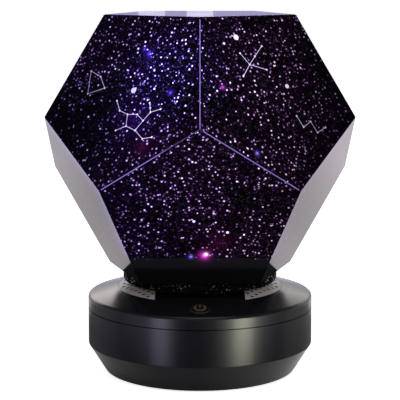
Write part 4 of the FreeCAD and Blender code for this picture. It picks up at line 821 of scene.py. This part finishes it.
# ---------------------------------------------------------------- shell: star figures
# Star pictures and the brightest stars are printed in thicker clear ink, which stands a hair
# proud of the panels: a ladle, a crane, a zigzag, a cross, a sail and a hook.
ink_front, ink_aside = (0.035, 1.20), (0.075, 0.32)
figure_ink, tree, shader = new_material(
    "figure_ink", {"Base Color": (0.10, 0.09, 0.13, 1), "Emission Strength": 1})
place = add_grain(tree, shader, fineness=400, roughness=0.25, spread=0.10, depth=0.00001)
glow = two_tone(tree, place, 60.0, 2.0, (0.50, 0.40, 0.92, 1), (1.0, 0.92, 1.3, 1))
aside = calc(tree, "ABSOLUTE", put(tree, "ShaderNodeSeparateXYZ", {0: place}).outputs["X"])
front = slope(tree, aside, ink_front[0], ink_aside[0], ink_front[1], ink_aside[1])
tree.links.new(scaled(tree, glow, front), shader.inputs["Emission Color"])

# Each figure: the places of its stars, in millimetres, and the pairs that a line joins.
figures = {
    "ladle": ([(-26, 8), (-16, 12), (-8, 8), (0, 6), (2, -4), (14, -4), (15, 7)],
              [(0, 1), (1, 2), (2, 3), (3, 4), (4, 5), (5, 6), (6, 3)]),
    "crane": ([(-22, 9), (-16, 3), (-8, 2), (-5, -6), (4, -7), (7, 1), (0, 4), (13, -11), (20, -8),
               (10, 8), (17, 12), (6, 14), (-12, -11)],
              [(0, 1), (1, 2), (2, 3), (3, 4), (4, 5), (5, 6), (6, 2), (4, 7), (7, 8), (5, 9),
               (9, 10), (9, 11), (3, 12)]),
    "zigzag": ([(-14, 4), (-7, -4), (0, 3), (7, -5), (15, 2)], [(0, 1), (1, 2), (2, 3), (3, 4)]),
    "cross": ([(-14, -8), (-4, -1), (4, 4), (14, 10), (-8, 9), (9, -8)],
              [(0, 1), (1, 2), (2, 3), (4, 1), (1, 5)]),
    "sail": ([(-8, -8), (9, -9), (6, 3), (-3, 12)], [(0, 1), (1, 2), (2, 3), (3, 0)]),
    "hook": ([(10, 12), (6, 3), (3, -6), (-4, -10), (-10, -6), (-9, 1)],
             [(0, 1), (1, 2), (2, 3), (3, 4), (4, 5)]),
}
# Each row: panel, figure, millimetres across and up, turn in degrees, size.
prints = (
    ("upper_panel_5", "crane", 12, -18, -10, 0.95),
    ("upper_panel_5", "sail", -30, 6, 24, 0.8),
    ("upper_panel_1", "cross", -8, 22, 10, 0.9),
    ("upper_panel_1", "zigzag", 24, -24, -20, 0.8),
    ("upper_panel_2", "hook", -6, 14, 0, 1.0),
    ("upper_panel_2", "zigzag", 10, -24, 30, 0.8),
    ("upper_panel_3", "ladle", -4, 8, 40, 1.0),
    ("upper_panel_4", "cross", 8, 10, -30, 1.0),
    ("upper_panel_4", "sail", -20, -20, 10, 0.8),
    ("lower_panel_3", "hook", -10, 10, 20, 0.9),
    ("lower_panel_4", "ladle", 6, 18, -30, 0.9),
)
# Each row: panel, millimetres across and up, radius in millimetres.
bright_stars = (
    ("upper_panel_5", 4, 2, 2.0),
    ("upper_panel_1", -16, 40, 2.0),
    ("upper_panel_1", 14, 4, 1.5),
    ("upper_panel_1", -27, 36, 0.9),
    ("upper_panel_2", 20, 20, 1.4),
    ("upper_panel_3", -24, -12, 1.6),
    ("upper_panel_4", 26, -14, 1.4),
    ("lower_panel_1", -4, -3, 1.0),
    ("lower_panel_1", 18, -12, 1.0),
    ("lower_panel_3", 16, -6, 1.3),
)
line_width = 0.00029
line_proud, dot_proud = 0.00005, 0.00006
ink_sunk = 0.0001
figure_star = 0.00066
dot_sides = 14


def ink_dot(name, spot, radius):
    """A flat round dot of ink on a panel: two rings of points, and a cap on each."""
    _, outward, across, rise = panel_frame(name)
    turn = np.arange(dot_sides) * 2 * math.pi / dot_sides
    ring = spot + radius * (np.outer(np.cos(turn), across) + np.outer(np.sin(turn), rise))
    points = np.concatenate([ring - outward * ink_sunk, ring + outward * dot_proud])
    below = list(range(dot_sides))
    return points, ring_faces(2, dot_sides) + [below[::-1], [corner + dot_sides for corner in below]]


parts, dots_at = [], []
for name, figure, across, up, turned, size in prints:
    spots, links = figures[figure]
    outward = np.tile(panel_frame(name)[1], (2, 1))
    angle = math.radians(turned)
    turning = np.array(((math.cos(angle), math.sin(angle)), (-math.sin(angle), math.cos(angle))))
    flat = np.array(spots, float) @ turning * size + (across, up)
    places = [on_panel(name, *spot) for spot in flat]
    parts += [band((places[begin], places[end]), outward, line_width, ink_sunk, line_proud)
              for begin, end in links]
    dots_at += [(name, spot, figure_star) for spot in places]
dots_at += [(name, on_panel(name, across, up), radius / 1000) for name, across, up, radius in bright_stars]
parts += [ink_dot(*dot) for dot in dots_at]
star_figures = new_mesh("star_figures", *merged(parts), figure_ink)
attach(star_figures, "shell")
